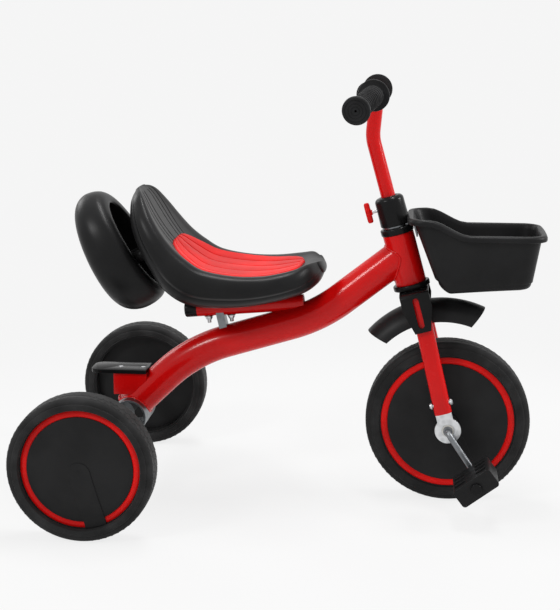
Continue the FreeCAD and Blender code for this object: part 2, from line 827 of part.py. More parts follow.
def footboard():
    """A short step behind the seat, on a folded bracket welded to the main tube."""
    length = size.board_rear + size.board_front
    frame = REAR_AXLE.moved(-size.board_rear, 0, size.board_bottom)
    board = body("board_plate", frame)
    plan = sketch(board, "board_plan")
    half, corner = size.board_half_width, size.board_corner
    outline(plan, [
        (corner, -half), (length, -half), (length, half), (corner, half, corner), (ZERO, half - corner),
        (ZERO, -half + corner, corner),
    ])
    pad(board, plan, size.board_thickness)
    clear = main_tube_solid("board_clearance", size.tube_radius, None)
    screws = []
    for number, place in enumerate((size.board_screw_first, size.board_screw_second)):
        foot = REAR_AXLE.moved(place, 0, size.board_bottom + size.board_thickness - size.board_screw_head)
        head = cylinder(f"board_head_{number}", foot, size.board_screw_radius, size.board_screw_head)
        reach = size.board_thickness - size.board_screw_head + size.board_support_wall
        shank = cylinder(f"board_shank_{number}", foot.moved(0, 0, -reach), size.board_screw_radius / 2, reach)
        screws.append(fused(f"board_screw_{number}", head, shank))
    keep(cut("footboard", board, clear, *screws), "footboard")

    support = body("board_support", REAR_AXLE.moved(0, 0, size.board_bottom))
    section = sketch(support, "board_support_section", "YZ_Plane")
    half, wall, drop = size.board_support_half_width, size.board_support_wall, size.board_support_drop
    outline(section, [
        (-half, -drop), (-half + wall, -drop), (-half + wall, -wall), (half - wall, -wall),
        (half - wall, -drop), (half, -drop), (half, ZERO), (-half, ZERO),
    ])
    pad(support, section, size.board_front)
    keep(cut("footboard_bracket", support, clear, *screws), "footboard_bracket")
    keep(grouped("footboard_screws", *screws), "footboard_screws")
    return clear


# ---------------------------------------------------------------- seat bar

def seat_bar_frame():
    """Along the seat bar: its Z axis runs from the rear end forwards."""
    rear = REAR_AXLE.moved(size.seat_bar_rear_x, 0, size.seat_bar_rear_z)
    return rear.turned("-Y", size.seat_bar_angle).turned("+Y", 90)


def seat_bar(clear):
    """The bar that carries the seat, mitred on to the main tube, with its plug, stay and bolts."""
    along = seat_bar_frame()
    radius, inner = size.seat_bar_radius, size.seat_bar_radius - size.seat_bar_wall
    start = size.plug_head
    tube = turned_piece("seat_bar_tube", along, [
        (inner, start), (radius, start), (radius, size.seat_bar_length), (inner, size.seat_bar_length),
    ])
    keep(turned_piece("seat_bar_plug", along, [
        (ZERO, ZERO), (radius - 2, ZERO), (radius, Size.of(2)), (radius, start), (inner, start),
        (inner, size.plug_length), (ZERO, size.plug_length),
    ]), "seat_bar_plug")

    upright = REAR_AXLE.moved(size.seat_bar_rear_x, 0, size.seat_bar_rear_z)
    upright = upright.turned("-Y", size.seat_bar_angle)
    half, depth = size.stay_width / 2, size.seat_bar_radius * 3
    stay = body("stay_plate", upright.moved((size.seat_bolt_rear + size.seat_bolt_front) / 2, 0, 0))
    plan = sketch(stay, "stay_plan", "XZ_Plane")
    outline(plan, [(-half, ZERO), (-half + 5, -depth), (half + 5, -depth), (half, ZERO)])
    pad(stay, plan, size.stay_thickness, "Symmetric")
    outside = cylinder("stay_bar_clearance", along, radius, size.seat_bar_length)
    keep(cut("seat_stay", stay, outside, clear), "seat_stay")

    bolts = []
    drop = size.seat_bolt_drop
    for name, place in (("rear", size.seat_bolt_rear), ("front", size.seat_bolt_front)):
        foot = upright.moved(place, 0, -radius - drop)
        reach = drop + radius * 2 + size.seat_bolt_bite
        shank = cylinder(f"{name}_seat_shank", foot, size.seat_bolt_radius, reach)
        nut = cylinder(f"{name}_seat_nut", foot.moved(0, 0, drop / 3), size.seat_bolt_head, drop * 2 / 3)
        bolts.append(fused(f"{name}_seat_bolt", shank, nut))
    keep(cut("seat_bar", tube, clear, *bolts), "seat_bar")
    keep(grouped("seat_bolts", *bolts), "seat_bolts")
    return bolts


# ---------------------------------------------------------------- fork

def steerer():
    outer, inner = size.steerer_radius, size.stem_radius + size.stem_fit
    low, high = size.steerer_bottom, size.steerer_top
    tube = turned_piece("steerer_blank", STEERING, [
        (inner, low + 4), (outer, low), (outer, high), (inner, high),
    ])
    hole = screw_hole("steerer_screw_hole")
    keep(cut("steerer_tube", tube, hole), "steerer_tube")


def screw_hole(name):
    """The knob screw's way in through the cap and the steerer, from behind."""
    back = STEERING.moved(0, 0, size.knob_height).turned("-Y", 90)
    radius = size.knob_screw_radius + size.running_fit
    return cylinder(name, back, radius, size.knob_start)


def crown_top():
    """The crown's upper face, with the shroud's wall and a gap below the lower bush."""
    return size.head_tube_bottom - size.lower_flange - size.turn_gap - size.shroud_wall


def crown():
    """The bridge plate that joins the steerer to both legs."""
    top = crown_top()
    plate = body("fork_crown", STEERING.moved(0, 0, top - size.crown_thickness))
    plan = sketch(plate, "crown_plan")
    half, wide = size.crown_half_length, size.leg_top_spread + size.leg_width / 2
    lead = size.leg_top_lead / 2
    outline(plan, [(lead - half, -wide), (lead + half, -wide), (lead + half, wide), (lead - half, wide)])
    circle(plan, 0, 0, size.steerer_radius)
    pad(plate, plan, size.crown_thickness)
    keep(plate, "fork_crown")


def leg_section(owner, name, height, x, y, shrink):
    """An obround section across the leg, at a height up the steering axis."""
    drawing = sketch(owner, name, lift=height)
    long, wide = size.leg_length / 2 - shrink, size.leg_width / 2 - shrink
    straight = long - wide
    outline(drawing, [
        (x - straight, y - wide), (x + straight, y - wide, wide), (x + long, y, wide),
        (x + straight, y + wide), (x - straight, y + wide, wide), (x - long, y, wide),
    ])
    return drawing


def fork_leg(name, side, bolt):
    """A hollow leg that spreads from the crown down to the axle."""
    top = crown_top() - size.crown_thickness
    leg = body(f"leg_blank_{name}", STEERING)
    ends = {"top": (top, size.leg_top_lead, side * size.leg_top_spread),
            "foot": (size.leg_foot, ZERO, side * size.leg_foot_spread)}
    for kind, shrink in (("PartDesign::AdditiveLoft", ZERO), ("PartDesign::SubtractiveLoft", size.leg_wall)):
        drawings = [leg_section(leg, f"{kind[12]}_{end}_{name}", *place, shrink)
                    for end, place in ends.items()]
        made = leg.newObject(kind, f"{kind[12]}_leg_{name}")
        made.Profile = drawings[0]
        made.Sections = drawings[1:]
        leg.Tip = made
        doc.recompute()
    keep(cut(f"fork_leg_{name}", leg, bolt), f"fork_leg_{name}")


def dropout(name, side, bolt):
    """A zinc plate: an eye round the axle bush and a neck up into the leg's open end."""
    plate = body(f"plate_blank_{name}", STEERING)
    middle = size.dropout_inner + size.dropout_thickness / 2
    drawing = sketch(plate, f"dropout_outline_{name}", "XZ_Plane", -side * middle)
    neck, eye, wide = size.dropout_neck, size.dropout_radius, size.dropout_shoulder
    join, ledge, tip = eye / 2, size.leg_foot - size.turn_gap, size.dropout_top
    outline(drawing, [
        (-wide, join), (wide, join), (wide, ledge), (neck, ledge), (neck, tip), (-neck, tip), (-neck, ledge),
        (-wide, ledge),
    ])
    pad(plate, drawing, size.dropout_thickness, "Symmetric")
    ring = sketch(plate, f"dropout_eye_{name}", "XZ_Plane", -side * middle)
    circle(ring, 0, 0, eye)
    pad(plate, ring, size.dropout_thickness, "Symmetric")
    bore = sketch(plate, f"dropout_bore_{name}", "XZ_Plane", -side * middle)
    circle(bore, 0, 0, size.axle_bush_radius)
    pocket(plate, bore, size.dropout_thickness * 2)
    keep(cut(f"dropout_{name}", plate, bolt), f"dropout_{name}")


def axle_bushes():
    """Flanged nylon bushes in the dropouts, in which the crank axle turns."""
    bore = size.crank_radius + size.running_fit
    inner, outer = size.dropout_inner, size.dropout_inner + size.dropout_thickness
    bushes = []
    for name, side in SIDES.items():
        bushes.append(turned_piece(f"axle_bush_{name}", FRONT_AXLE, [
            (bore, side * (inner - size.axle_bush_lip)),
            (size.axle_bush_flange, side * (inner - size.axle_bush_lip)),
            (size.axle_bush_flange, side * inner), (size.axle_bush_radius, side * inner),
            (size.axle_bush_radius, side * outer), (bore, side * outer),
        ], "XY_Plane"))
    keep(grouped("axle_bushes", *bushes), "axle_bushes")


def dropout_bolts():
    """A bolt fore and aft through each leg's foot, with its head behind and its nut ahead."""
    bolts = {}
    half = size.leg_length / 2
    for name, side in SIDES.items():
        share = (size.cross_bolt_height - size.leg_foot) / (size.steerer_bottom - size.leg_foot)
        spread = size.leg_foot_spread - (size.leg_foot_spread - size.leg_top_spread) * share
        middle = STEERING.moved(0, side * spread, size.cross_bolt_height).turned("+Y", 90)
        shank = cylinder(f"cross_shank_{name}", middle.moved(0, 0, -half), size.cross_bolt_radius, half * 2)
        reach = half + size.leg_top_lead * share
        ends = [cylinder(f"cross_head_{name}", middle.moved(0, 0, -half - size.cross_head),
                         size.cross_head_radius, size.cross_head + size.leg_wall),
                cylinder(f"cross_nut_{name}", middle.moved(0, 0, reach - size.leg_wall),
                         size.cross_head_radius, size.cross_head + size.leg_wall)]
        bolts[name] = fused(f"cross_bolt_{name}", shank, *ends)
    keep(grouped("dropout_bolts", *bolts.values()), "dropout_bolts")
    return bolts


# ---------------------------------------------------------------- crank and pedals

CRANKS = FRONT_AXLE.turned("+Y", size.crank_angle)


def crank_axle():
    """One chromed rod: spindle, crank, axle, crank and spindle, all in one plane."""
    rod = body("crank_axle", CRANKS)
    path = sketch(rod, "crank_path")
    arm, plane, end = size.crank_length, size.crank_plane, size.spindle_end
    route(path, [(-arm, end), (-arm, plane), (ZERO, plane), (ZERO, -plane), (arm, -plane), (arm, -end)],
          size.crank_bend)
    tube_along(rod, "crank", path, size.crank_radius, None, "XZ_Plane", -end, x=-arm)
    keep(rod, "crank_axle")
    start = size.dropout_inner + size.dropout_thickness + size.hub_gap
    nuts = []
    for name, side in SIDES.items():
        near, far = side * start, side * (start + size.hub_nut_thickness)
        nuts.append(turned_piece(f"hub_nut_{name}", FRONT_AXLE, [
            (size.crank_radius, near), (size.hub_nut_radius, near), (size.hub_nut_radius, far),
            (size.crank_radius, far),
        ], "XY_Plane"))
    keep(grouped("crank_collars", *nuts), "crank_collars")


def pedal(name, side):
    """A block with three slots through its treads, turning on the crank's spindle."""
    turn = size.crank_angle + size.pedal_angle
    frame = CRANKS.moved(-side * size.crank_length, 0, 0).turned("-Y", turn)
    block = body(f"pedal_{name}", frame)
    middle = -side * (size.pedal_inner + size.pedal_width / 2)
    face = sketch(block, f"pedal_side_{name}", "XZ_Plane", middle)
    half, high, corner = size.pedal_length / 2, size.pedal_thickness / 2, size.pedal_corner
    outline(face, [
        (-half + corner, -high), (half - corner, -high, corner), (half, -high + corner),
        (half, high - corner, corner), (half - corner, high), (-half + corner, high, corner),
        (-half, high - corner), (-half, -high + corner, corner),
    ])
    circle(face, 0, 0, size.crank_radius + size.running_fit)
    pad(block, face, size.pedal_width, "Symmetric")
    slots = sketch(block, f"pedal_slots_{name}")
    pitch = size.pedal_width / 4
    for place in (-1, 0, 1):
        centre = -middle + pitch * place
        for way in (-1, 1):
            near = size.crank_radius + size.pedal_corner
            far = half - size.pedal_corner
            low, high_x = (near, far) if way > 0 else (-far, -near)
            edge = size.pedal_slot / 2
            outline(slots, [
                (low, centre - edge), (high_x, centre - edge), (high_x, centre + edge), (low, centre + edge),
            ])
    pocket(block, slots, size.pedal_thickness * 2)
    keep(block, f"pedal_{name}")
    start = size.pedal_inner + size.pedal_width + size.hub_gap
    near, far = side * start, side * (start + size.pedal_cap_thickness)
    cap_frame = CRANKS.moved(-side * size.crank_length, 0, 0)
    return turned_piece(f"pedal_cap_{name}", cap_frame, [
        (ZERO, side * size.spindle_end), (size.crank_radius, side * size.spindle_end),
        (size.crank_radius, near), (size.pedal_cap_radius, near), (size.pedal_cap_radius, far),
        (ZERO, far),
    ], "XY_Plane")


# ---------------------------------------------------------------- stem, handlebar and grips

def bar_frame():
    centre = STEERING.moved(size.bar_reach, 0, size.bar_height)
    return centre.turned("+Y", size.head_angle).turned("-Y", size.bar_lean)


def stem_tube():
    stem = body("stem_bent", STEERING)
    path = sketch(stem, "stem_path", "XZ_Plane")
    route(path, [
        (ZERO, size.stem_bottom), (ZERO, size.bar_height - size.stem_bend_drop), (size.bar_reach, size.bar_height),
    ], size.stem_bend_radius)
    tube_along(stem, "stem", path, size.stem_radius, size.stem_wall, "XY_Plane", size.stem_bottom)
    across = STEERING.moved(size.bar_reach, 0, size.bar_height).turned("+X", 90)
    half = size.stem_radius * 2
    bar = cylinder("stem_mitre", across.moved(0, 0, -half), size.stem_radius, half * 2)
    keep(cut("stem_tube", stem, bar), "stem_tube")


def handlebar():
    """A tube, straight in the middle and swept back at both ends."""
    bar = body("handlebar", bar_frame())
    path = sketch(bar, "bar_path")
    route(path, [(ZERO, ZERO), (ZERO, -size.bar_straight), (-size.bar_sweep, -size.bar_half_span)],
          size.bar_bend_radius)
    half = tube_along(bar, "bar", path, size.stem_radius, size.stem_wall, "XZ_Plane")
    mirrored = bar.newObject("PartDesign::Mirrored", "bar_mirrored")
    mirrored.Originals = [half]
    plane = [feature for feature in bar.Origin.OriginFeatures if feature.Role == "XZ_Plane"]
    mirrored.MirrorPlane = (plane[0], [""])
    bar.Tip = mirrored
    keep(bar, "handlebar")


def grip(name, side):
    """A ringed grip with a hand guard at its inner end and a flange at its outer end."""
    sweep = slope(size.bar_sweep, size.bar_half_span - size.bar_straight)
    corner = bar_frame().moved(0, side * size.bar_straight, 0)
    along = corner.turned("+Z", sweep if side > 0 else 180 - sweep)
    bar_end = (size.bar_half_span - size.bar_straight) / cosine(sweep)
    start, end = bar_end + size.grip_closed - size.grip_length, bar_end + size.grip_closed
    bore, held = size.stem_radius, size.grip_radius
    guard = start + size.grip_guard
    keep(turned_piece(f"grip_{name}", along, [
        (bore, start), (size.grip_guard_radius, start), (size.grip_guard_radius, guard),
        (held, guard), (held, end - size.grip_end), (size.grip_end_radius, end - size.grip_end),
        (size.grip_end_radius, end), (size.grip_vent, end), (size.grip_vent, end - size.grip_closed),
        (bore, end - size.grip_closed),
    ], "XY_Plane"), f"grip_{name}")


def stem_cap():
    """The plastic cap that clamps the stem where it enters the steerer."""
    shoulder, hole = size.cap_shoulder, size.stem_radius + size.stem_fit
    cap = turned_piece("cap_blank", STEERING, [
        (size.steerer_radius, size.cap_bottom), (size.cap_radius, size.cap_bottom),
        (size.cap_radius, size.cap_top - shoulder, shoulder), (size.cap_radius - shoulder, size.cap_top),
        (hole, size.cap_top), (hole, size.steerer_top), (size.steerer_radius, size.steerer_top),
    ])
    keep(cut("stem_cap", cap, screw_hole("cap_screw_hole")), "stem_cap")


def clamp_knob():
    """A two-winged knob behind the cap, with the screw that bears on the stem."""
    back = STEERING.moved(0, 0, size.knob_height).turned("-Y", 90)
    knob = body("clamp_knob", back)
    face = sketch(knob, "knob_face", lift=size.knob_start)
    half, round_end = size.knob_length / 2, size.knob_width / 2
    waist = round_end * 1.5
    outline(face, [
        (-half + round_end, -round_end), (-waist, -round_end), (ZERO, -waist), (waist, -round_end),
        (half - round_end, -round_end, round_end), (half, ZERO, round_end), (half - round_end, round_end),
        (waist, round_end), (ZERO, waist), (-waist, round_end), (-half + round_end, round_end, round_end),
        (-half, ZERO, round_end),
    ])
    pad(knob, face, size.knob_thickness)
    bore = sketch(knob, "knob_bore", lift=size.knob_start)
    circle(bore, 0, 0, size.knob_screw_radius)
    pocket(knob, bore, size.knob_thickness)
    keep(knob, "clamp_knob")
    tip = size.stem_radius + size.turn_gap
    reach = size.knob_start + size.knob_thickness / 2 - tip
    keep(cylinder("clamp_screw", back.moved(0, 0, tip), size.knob_screw_radius, reach), "clamp_screw")


# ---------------------------------------------------------------- crown cover and fender

def crown_cover():
    """A plastic shroud over the crown, narrowing down the outside of both legs, with a slot."""
    top = crown_top()
    cover = body("crown_cover", STEERING.moved(size.shroud_lead, 0, 0))
    wall, foot = size.shroud_wall, size.shroud_foot
    under = top - size.crown_thickness
    wide, low_wide, shoulder = size.shroud_top_spread, size.shroud_foot_spread, size.shroud_shoulder
    ridge = top + wall
    section = sketch(cover, "shroud_section", "YZ_Plane")
    inner = size.leg_top_spread + size.leg_width / 2 + size.trim_fit
    outline(section, [
        (-low_wide, foot), (-low_wide + wall, foot), (-inner, under), (-inner, top), (inner, top),
        (inner, under), (low_wide - wall, foot), (low_wide, foot), (wide, ridge - shoulder, shoulder),
        (wide - shoulder, ridge), (-wide + shoulder, ridge, shoulder), (-wide, ridge - shoulder),
    ])
    pad(cover, section, size.shroud_half_length * 2, "Symmetric")
    trim = sketch(cover, "shroud_trim", "XZ_Plane")
    half, tip, neck = size.shroud_half_length, size.shroud_tip_radius, size.shroud_neck
    below, out = foot - 1, half + 1
    for way in (-1, 1):
        corners = [(way * out, neck), (way * tip, foot), (way * tip, below), (way * out, below)]
        outline(trim, corners if way > 0 else corners[::-1])
    pocket(cover, trim, low_wide * 4)
    slot = sketch(cover, "shroud_slot", "XZ_Plane")
    wide_slot = size.slot_half_width
    outline(slot, [
        (-wide_slot, size.slot_top), (-wide_slot, size.slot_bottom, wide_slot),
        (ZERO, size.slot_bottom - wide_slot, wide_slot), (wide_slot, size.slot_bottom),
        (wide_slot, size.slot_top, wide_slot), (ZERO, size.slot_top + wide_slot, wide_slot),
    ])
    pocket(cover, slot, low_wide * 4)
    bore = sketch(cover, "shroud_bore", lift=top)
    circle(bore, -size.shroud_lead, 0, size.steerer_radius + size.trim_fit)
    pocket(cover, bore, wall * 4)
    keep(cover, "crown_cover")


def fender():
    """An arched mudguard over the front of the wheel, its ends cut back towards the edges."""
    centre = FRONT_AXLE.turned("-Y", size.fender_lean).moved(0, 0, size.fender_centre)
    guard = body("fender_arch", centre)
    profile = sketch(guard, "fender_profile", "YZ_Plane")
    wide, ridge, rise, wall = size.fender_half_width, size.fender_radius, size.fender_depth, size.fender_wall
    edge = ridge - rise
    outer = (wide * wide + rise * rise) / (rise * 2)
    inner_wide, inner_rise = wide - wall, rise - wall
    inner = (inner_wide * inner_wide + inner_rise * inner_rise) / (inner_rise * 2)
    outline(profile, [
        (inner_wide, edge), (wide, edge, outer), (ZERO, ridge, outer), (-wide, edge), (-inner_wide, edge, -inner),
        (ZERO, ridge - wall, -inner),
    ])
    spin(guard, profile, "H_Axis", angle=size.fender_half_span * 2)
    ends = sketch(guard, "fender_ends", "XZ_Plane")
    span, early = size.fender_half_span, size.fender_half_span - size.fender_corner
    late = size.fender_half_span + size.fender_corner
    low, high = edge - wall * 4, ridge + wall * 2
    for way in (-1, 1):
        corners = [
            (way * high * sine(span), high * cosine(span)), (way * low * sine(early), low * cosine(early)),
            (way * low * sine(late), low * cosine(late)), (way * high * sine(late), high * cosine(late)),
        ]
        outline(ends, corners if way < 0 else corners[::-1])
    pocket(guard, ends, wide * 4)
    head_level = size.steerer_bottom - wall
    grip_length, head_depth = size.steerer_bottom - size.fender_centre - ridge / 2, size.fender_screw_radius * 4 / 3
    shank = cylinder("fender_shank", STEERING.moved(0, 0, head_level), size.fender_screw_radius, grip_length / 3)
    head = cylinder("fender_head", STEERING.moved(0, 0, head_level - head_depth), size.fender_screw_radius * 2,
                    head_depth)
    screw = fused("fender_screw", shank, head)
    keep(cut("fender", guard, screw), "fender")
    plug_radius = size.stem_radius + size.stem_fit
    plug_start = size.steerer_bottom + wall * 2
    plug = cylinder("steerer_plug_blank", STEERING.moved(0, 0, plug_start), plug_radius, plug_radius)
    keep(cut("steerer_plug", plug, screw), "steerer_plug")
    keep(screw, "fender_screw")


# ---------------------------------------------------------------- basket

def basket_frame():
    """Level with the floor, on the front of the strap that carries the basket."""
    front = STEERING.moved(size.strap_front, 0, size.cap_bottom - size.turn_gap)
    return front.turned("+Y", size.head_angle)


def strap():
    """A steel strap clamped under the cap, bent down behind the basket."""
    thick, ring = size.strap_thickness, size.strap_ring_radius
    level = size.cap_bottom - thick
    made = body("strap_blank", STEERING)
    front, half = size.strap_front, size.strap_half_width
    plate = sketch(made, "strap_plate", lift=level)
    outline(plate, [(ZERO, -half), (front, -half), (front, half), (ZERO, half)])
    pad(made, plate, thick)
    disc = sketch(made, "strap_disc", lift=level)
    circle(disc, 0, 0, ring)
    pad(made, disc, thick)
    drop = sketch(made, "strap_drop", "XZ_Plane")
    outline(drop, [
        (front - thick, size.strap_bottom), (front, size.strap_bottom), (front, level + thick),
        (front - thick, level + thick),
    ])
    pad(made, drop, half * 2, "Symmetric")
    bore = sketch(made, "strap_bore", lift=level)
    circle(bore, 0, 0, size.steerer_radius)
    pocket(made, bore, thick * 4)
    return made


def prism(points, low, high):
    """An outline in the XZ plane, given width along Y."""
    wire = Part.makePolygon([Vector(x, low, z) for x, z in points + points[:1]])
    return Part.Face(wire).extrude(Vector(0, high - low, 0))


def rounded_rectangle(low, high, half, corner, level):
    """A wire with round corners, from low to high along X and half either side of the middle."""
    lines = [
        (Vector(low + corner, -half, level), Vector(high - corner, -half, level)),
        (Vector(high, corner - half, level), Vector(high, half - corner, level)),
        (Vector(high - corner, half, level), Vector(low + corner, half, level)),
        (Vector(low, half - corner, level), Vector(low, corner - half, level)),
    ]
    centres = [(high - corner, corner - half), (high - corner, half - corner), (low + corner, half - corner),
               (low + corner, corner - half)]
    edges = []
    for place, (start, end) in enumerate(lines):
        x, y = centres[place]
        turn = math.radians(place * 90 - 45)
        bend = Vector(x + corner * math.cos(turn), y + corner * math.sin(turn), level)
        after = lines[(place + 1) % len(lines)][0]
        edges += [Part.makeLine(start, end), Part.Arc(end, bend, after).toShape()]
    return Part.Wire(edges)


def tub(grow, rear_grow):
    """The basket's body as a closed solid, enlarged on every side but the top."""
    length, depth = float(size.basket_length), float(size.basket_depth)
    rear_top, over = float(size.basket_rear_height), float(size.basket_over)
    heel, heel_low = float(size.basket_heel), -float(size.basket_heel_depth)
    toe_low, chin, toe = -float(size.basket_toe_depth), float(size.basket_chin), float(size.basket_toe)
    wide, low_wide, keel = float(size.basket_half_width), float(size.basket_floor_half_width), float(size.basket_keel)
    rings = []
    for level in (-depth - grow, rear_top * 2):
        down = (rear_top - level) / (rear_top - heel_low)
        rear = (heel + over) * down - over - rear_grow
        front = length + chin * level / (-toe_low - toe) + grow
        half = wide + (wide - low_wide) * level / depth + grow
        rings.append(rounded_rectangle(rear, front, half, float(size.basket_corner) + grow, level))
    tapered = Part.makeLoft(rings, True, True)
    back_run, back_rise = (keel - heel) * 5, (depth + heel_low) * 5
    front_run, front_rise = chin * 8, toe * 8
    side = prism([
        (heel - rear_grow - back_run, heel_low - grow + back_rise), (keel, -depth - grow),
        (length - chin * 2, toe_low - grow), (length - chin + grow, toe_low + toe - grow),
        (length - chin + grow + front_run, toe_low + toe - grow + front_rise), (length + front_run, depth),
        (heel - back_run, depth),
    ], -wide * 2, wide * 2)
    return tapered.common(side)


def rim_band(low, high):
    """A slab that follows the rim: level at the back, a step down, then level to the front."""
    rear, front = float(size.basket_rear_height), -float(size.basket_front_drop)
    start, run, far = float(size.basket_step), float(size.basket_step_length), float(size.basket_length) * 2
    third = (rear - front) / 6
    path = [(-far, rear), (start, rear), (start + run / 3, rear - third), (start + run * 3 / 4, front + third),
            (start + run, front), (far, front)]
    lower = [(x, z + low) for x, z in path]
    upper = [(x, z + high) for x, z in path]
    return prism(lower + upper[::-1], -far, far)


def basket(carrier):
    """A moulded basket with a rolled rim, and the two screws that hold it on the strap."""
    wall, lip = float(size.basket_wall), float(size.lip_width)
    outer, hollow = tub(0, 0), tub(-wall, -wall)
    above = rim_band(0, float(size.basket_depth))
    shell = outer.cut(hollow).cut(above)
    collar = tub(lip, float(size.lip_rear)).cut(hollow).common(rim_band(-float(size.lip_height), 0))
    made = doc.addObject("Part::Feature", "basket_shell")
    made.Shape = shell.fuse(collar).removeSplitter()
    screws = []
    frame = STEERING.moved(size.strap_front - size.strap_thickness, 0, size.strap_bottom + 8)
    for name, side in SIDES.items():
        place = frame.moved(0, side * size.strap_half_width / 2, 0).turned("+Y", 90)
        shank = cylinder(f"basket_shank_{name}", place, 2, 8)
        head = cylinder(f"basket_head_{name}", place.moved(0, 0, size.strap_thickness * 2 + 1), 4, 3)
        screws.append(fused(f"basket_screw_{name}", shank, head))
    made.setExpression("Placement", basket_frame().text)
    keep(cut("basket", made, *screws), "basket")
    keep(cut("basket_strap", carrier, *screws), "basket_strap")
    keep(grouped("basket_screws", *screws), "basket_screws")


# ---------------------------------------------------------------- seat and bin

# The seat is cut across from the top of the backrest, down into its bowl and out to its nose:
# the upper point (x, z) and lower point (x, z) of each cut, from the rear axle, and its share of
# the seat's half width.
SEAT_CUTS = [
    ((46, 371), (40, 367), 0.24),
    ((51, 367), (37, 358), 0.44),
    ((58, 358), (36, 348), 0.60),
    ((70, 337), (38, 324), 0.78),
    ((85, 313), (48, 292), 0.87),
    ((103, 290), (67, 255), 0.93),
    ((125, 270), (92, 220), 0.98),
    ((153, 254), (132, 199), 1.00),
    ((200, 247), (197, 198), 0.99),
    ((245, 248), (251, 206), 0.94),
    ((284, 255), (296, 218), 0.80),
    ((306, 262), (319, 232), 0.58),
    ((318, 263), (327, 246), 0.30),
]
# Half a cut, from the middle of its underside round to the middle of the bowl: shares of the half
# width and of the height between the lower and upper points.
SEAT_SIDE = [
    (0, 0), (0.30, 0.0), (0.55, 0.04), (0.72, 0.11), (0.82, 0.20), (0.90, 0.35), (0.985, 0.60),
    (1.00, 0.78), (0.97, 1.02), (0.86, 1.125), (0.69, 1.065), (0.45, 1.01),
]
# Half the pad's outline from above: ahead of the rear axle, and out from the middle.
PAD_SIDE = [(91, 0), (107, 56), (150, 88), (215, 86), (264, 54), (288, 0)]
# The bin's sections, from its back to its mouth: shares of its depth and of its size. Then its
# hollow, from the mouth's rim down: shares of the depth and of the way from the rim to the wall.
BIN_SECTIONS = [
    (0, 0.60), (0.05, 0.77), (0.16, 0.89), (0.30, 0.96), (0.50, 1.0), (0.70, 0.99), (0.85, 0.955),
    (0.95, 0.90), (1.0, 0.82),
]
BIN_HOLLOW = [(0.0, -0.6), (0.30, 0.55), (0.60, 0.75), (0.85, 0.25), (1.1, 0.0)]


def seat_section(upper, lower, half):
    """A closed curve across the seat: rounded below, bulging at the sides, dished on top."""
    top, bottom = Vector(upper[0], 0, upper[1]), Vector(lower[0], 0, lower[1])
    rise = top - bottom
    points = []
    for share, height in SEAT_SIDE:
        point = bottom + rise * height
        points.append(Vector(point.x, share * half, point.z))
    points.append(top)
    points += [Vector(point.x, -point.y, point.z) for point in points[-2:0:-1]]
    return closed_curve(points)


def seat_loft(wall):
    """The seat as a solid, or its cavity when a wall is given."""
    widest, floor = float(size.seat_half_width), float(size.seat_floor)
    stations = SEAT_CUTS[3:-2] if wall else SEAT_CUTS
    wires = []
    for upper, lower, share in stations:
        high, low = Vector(upper[0], 0, upper[1]), Vector(lower[0], 0, lower[1])
        way = (high - low).normalize()
        if wall:
            high -= way * (wall + float(size.pad_thickness))
            low += way * floor
        wires.append(seat_section((high.x, high.z), (low.x, low.z), share * widest - wall * 2))
    return Part.makeLoft(wires, True, False)


def closed_curve(points):
    """A smooth closed wire through points."""
    curve = Part.BSplineCurve()
    curve.interpolate(Points=points, PeriodicFlag=True)
    return Part.Wire([curve.toShape()])


def pad_plan():
    """The pad's outline from above, from the rear axle."""
    half = [Vector(x, y, 0) for x, y in PAD_SIDE]
    return Part.Face(closed_curve(half + [Vector(point.x, -point.y, 0) for point in half[-2:0:-1]]))


def seat_solids(bolts):
    """The hollow moulded seat, the pad let into its bowl and the bin behind it."""
    frame = WORLD.moved(size.rear_axle_x, 0, size.rear_wheel_radius)
    solid, hollow = seat_loft(0), seat_loft(float(size.seat_wall))
    lowered = solid.copy()
    lowered.translate(Vector(0, 0, -float(size.pad_thickness)))
    ceiling = float(size.seat_half_width) * 10
    layer = solid.cut(lowered).common(pad_plan().extrude(Vector(0, 0, ceiling)))
    inlay = max(layer.Solids, key=lambda piece: piece.Volume)
    blank = doc.addObject("Part::Feature", "seat_blank")
    blank.Shape = solid
    blank.setExpression("Placement", frame.text)
    inset = doc.addObject("Part::Feature", "seat_inlay")
    inset.Shape = inlay
    cavity = doc.addObject("Part::Feature", "seat_cavity")
    cavity.Shape = hollow
    cavity.setExpression("Placement", frame.text)
    spare = size.seat_bar_radius * 4
    trough = cylinder("seat_channel", seat_bar_frame().moved(0, 0, -spare),
                      size.seat_bar_radius + size.seat_channel_fit, size.seat_bar_length + spare)
    keep(inset, "seat_pad", frame)
    screws = rear_bin(blank)
    shell = cut("seat_shell", blank, cavity, inset, trough, *bolts, *screws)
    keep(shell, "seat_shell")


def bin_ring(level, shrink, share=1.0):
    """An oval across the bin, its lower end further out as the mouth is tilted."""
    long = (float(size.bin_half_length) - shrink) * share
    wide = (float(size.bin_half_width) - shrink) * share
    tilt = math.tan(math.radians(float(size.bin_wedge))) * level / float(size.bin_depth)
    points = []
    for step in range(BIN_POINTS):
        turn = 2 * math.pi * step / BIN_POINTS
        down = long * math.cos(turn)
        points.append(Vector(down, wide * math.sin(turn), level + down * tilt))
    return closed_curve(points)


def bin_pod():
    """The bin: a rounded pod, hollowed out behind the rim of its mouth."""
    depth, wall, rim = float(size.bin_depth), float(size.bin_wall), float(size.bin_rim)
    outer = Part.makeLoft([bin_ring(depth * level, 0, share) for level, share in BIN_SECTIONS], True, False)
    floor = float(size.bin_floor)
    rings = []
    for level, share in BIN_HOLLOW:
        rings.append(bin_ring(floor + (depth - floor) * level, rim - (rim - wall) * share))
    return outer.cut(Part.makeLoft(rings, True, False))


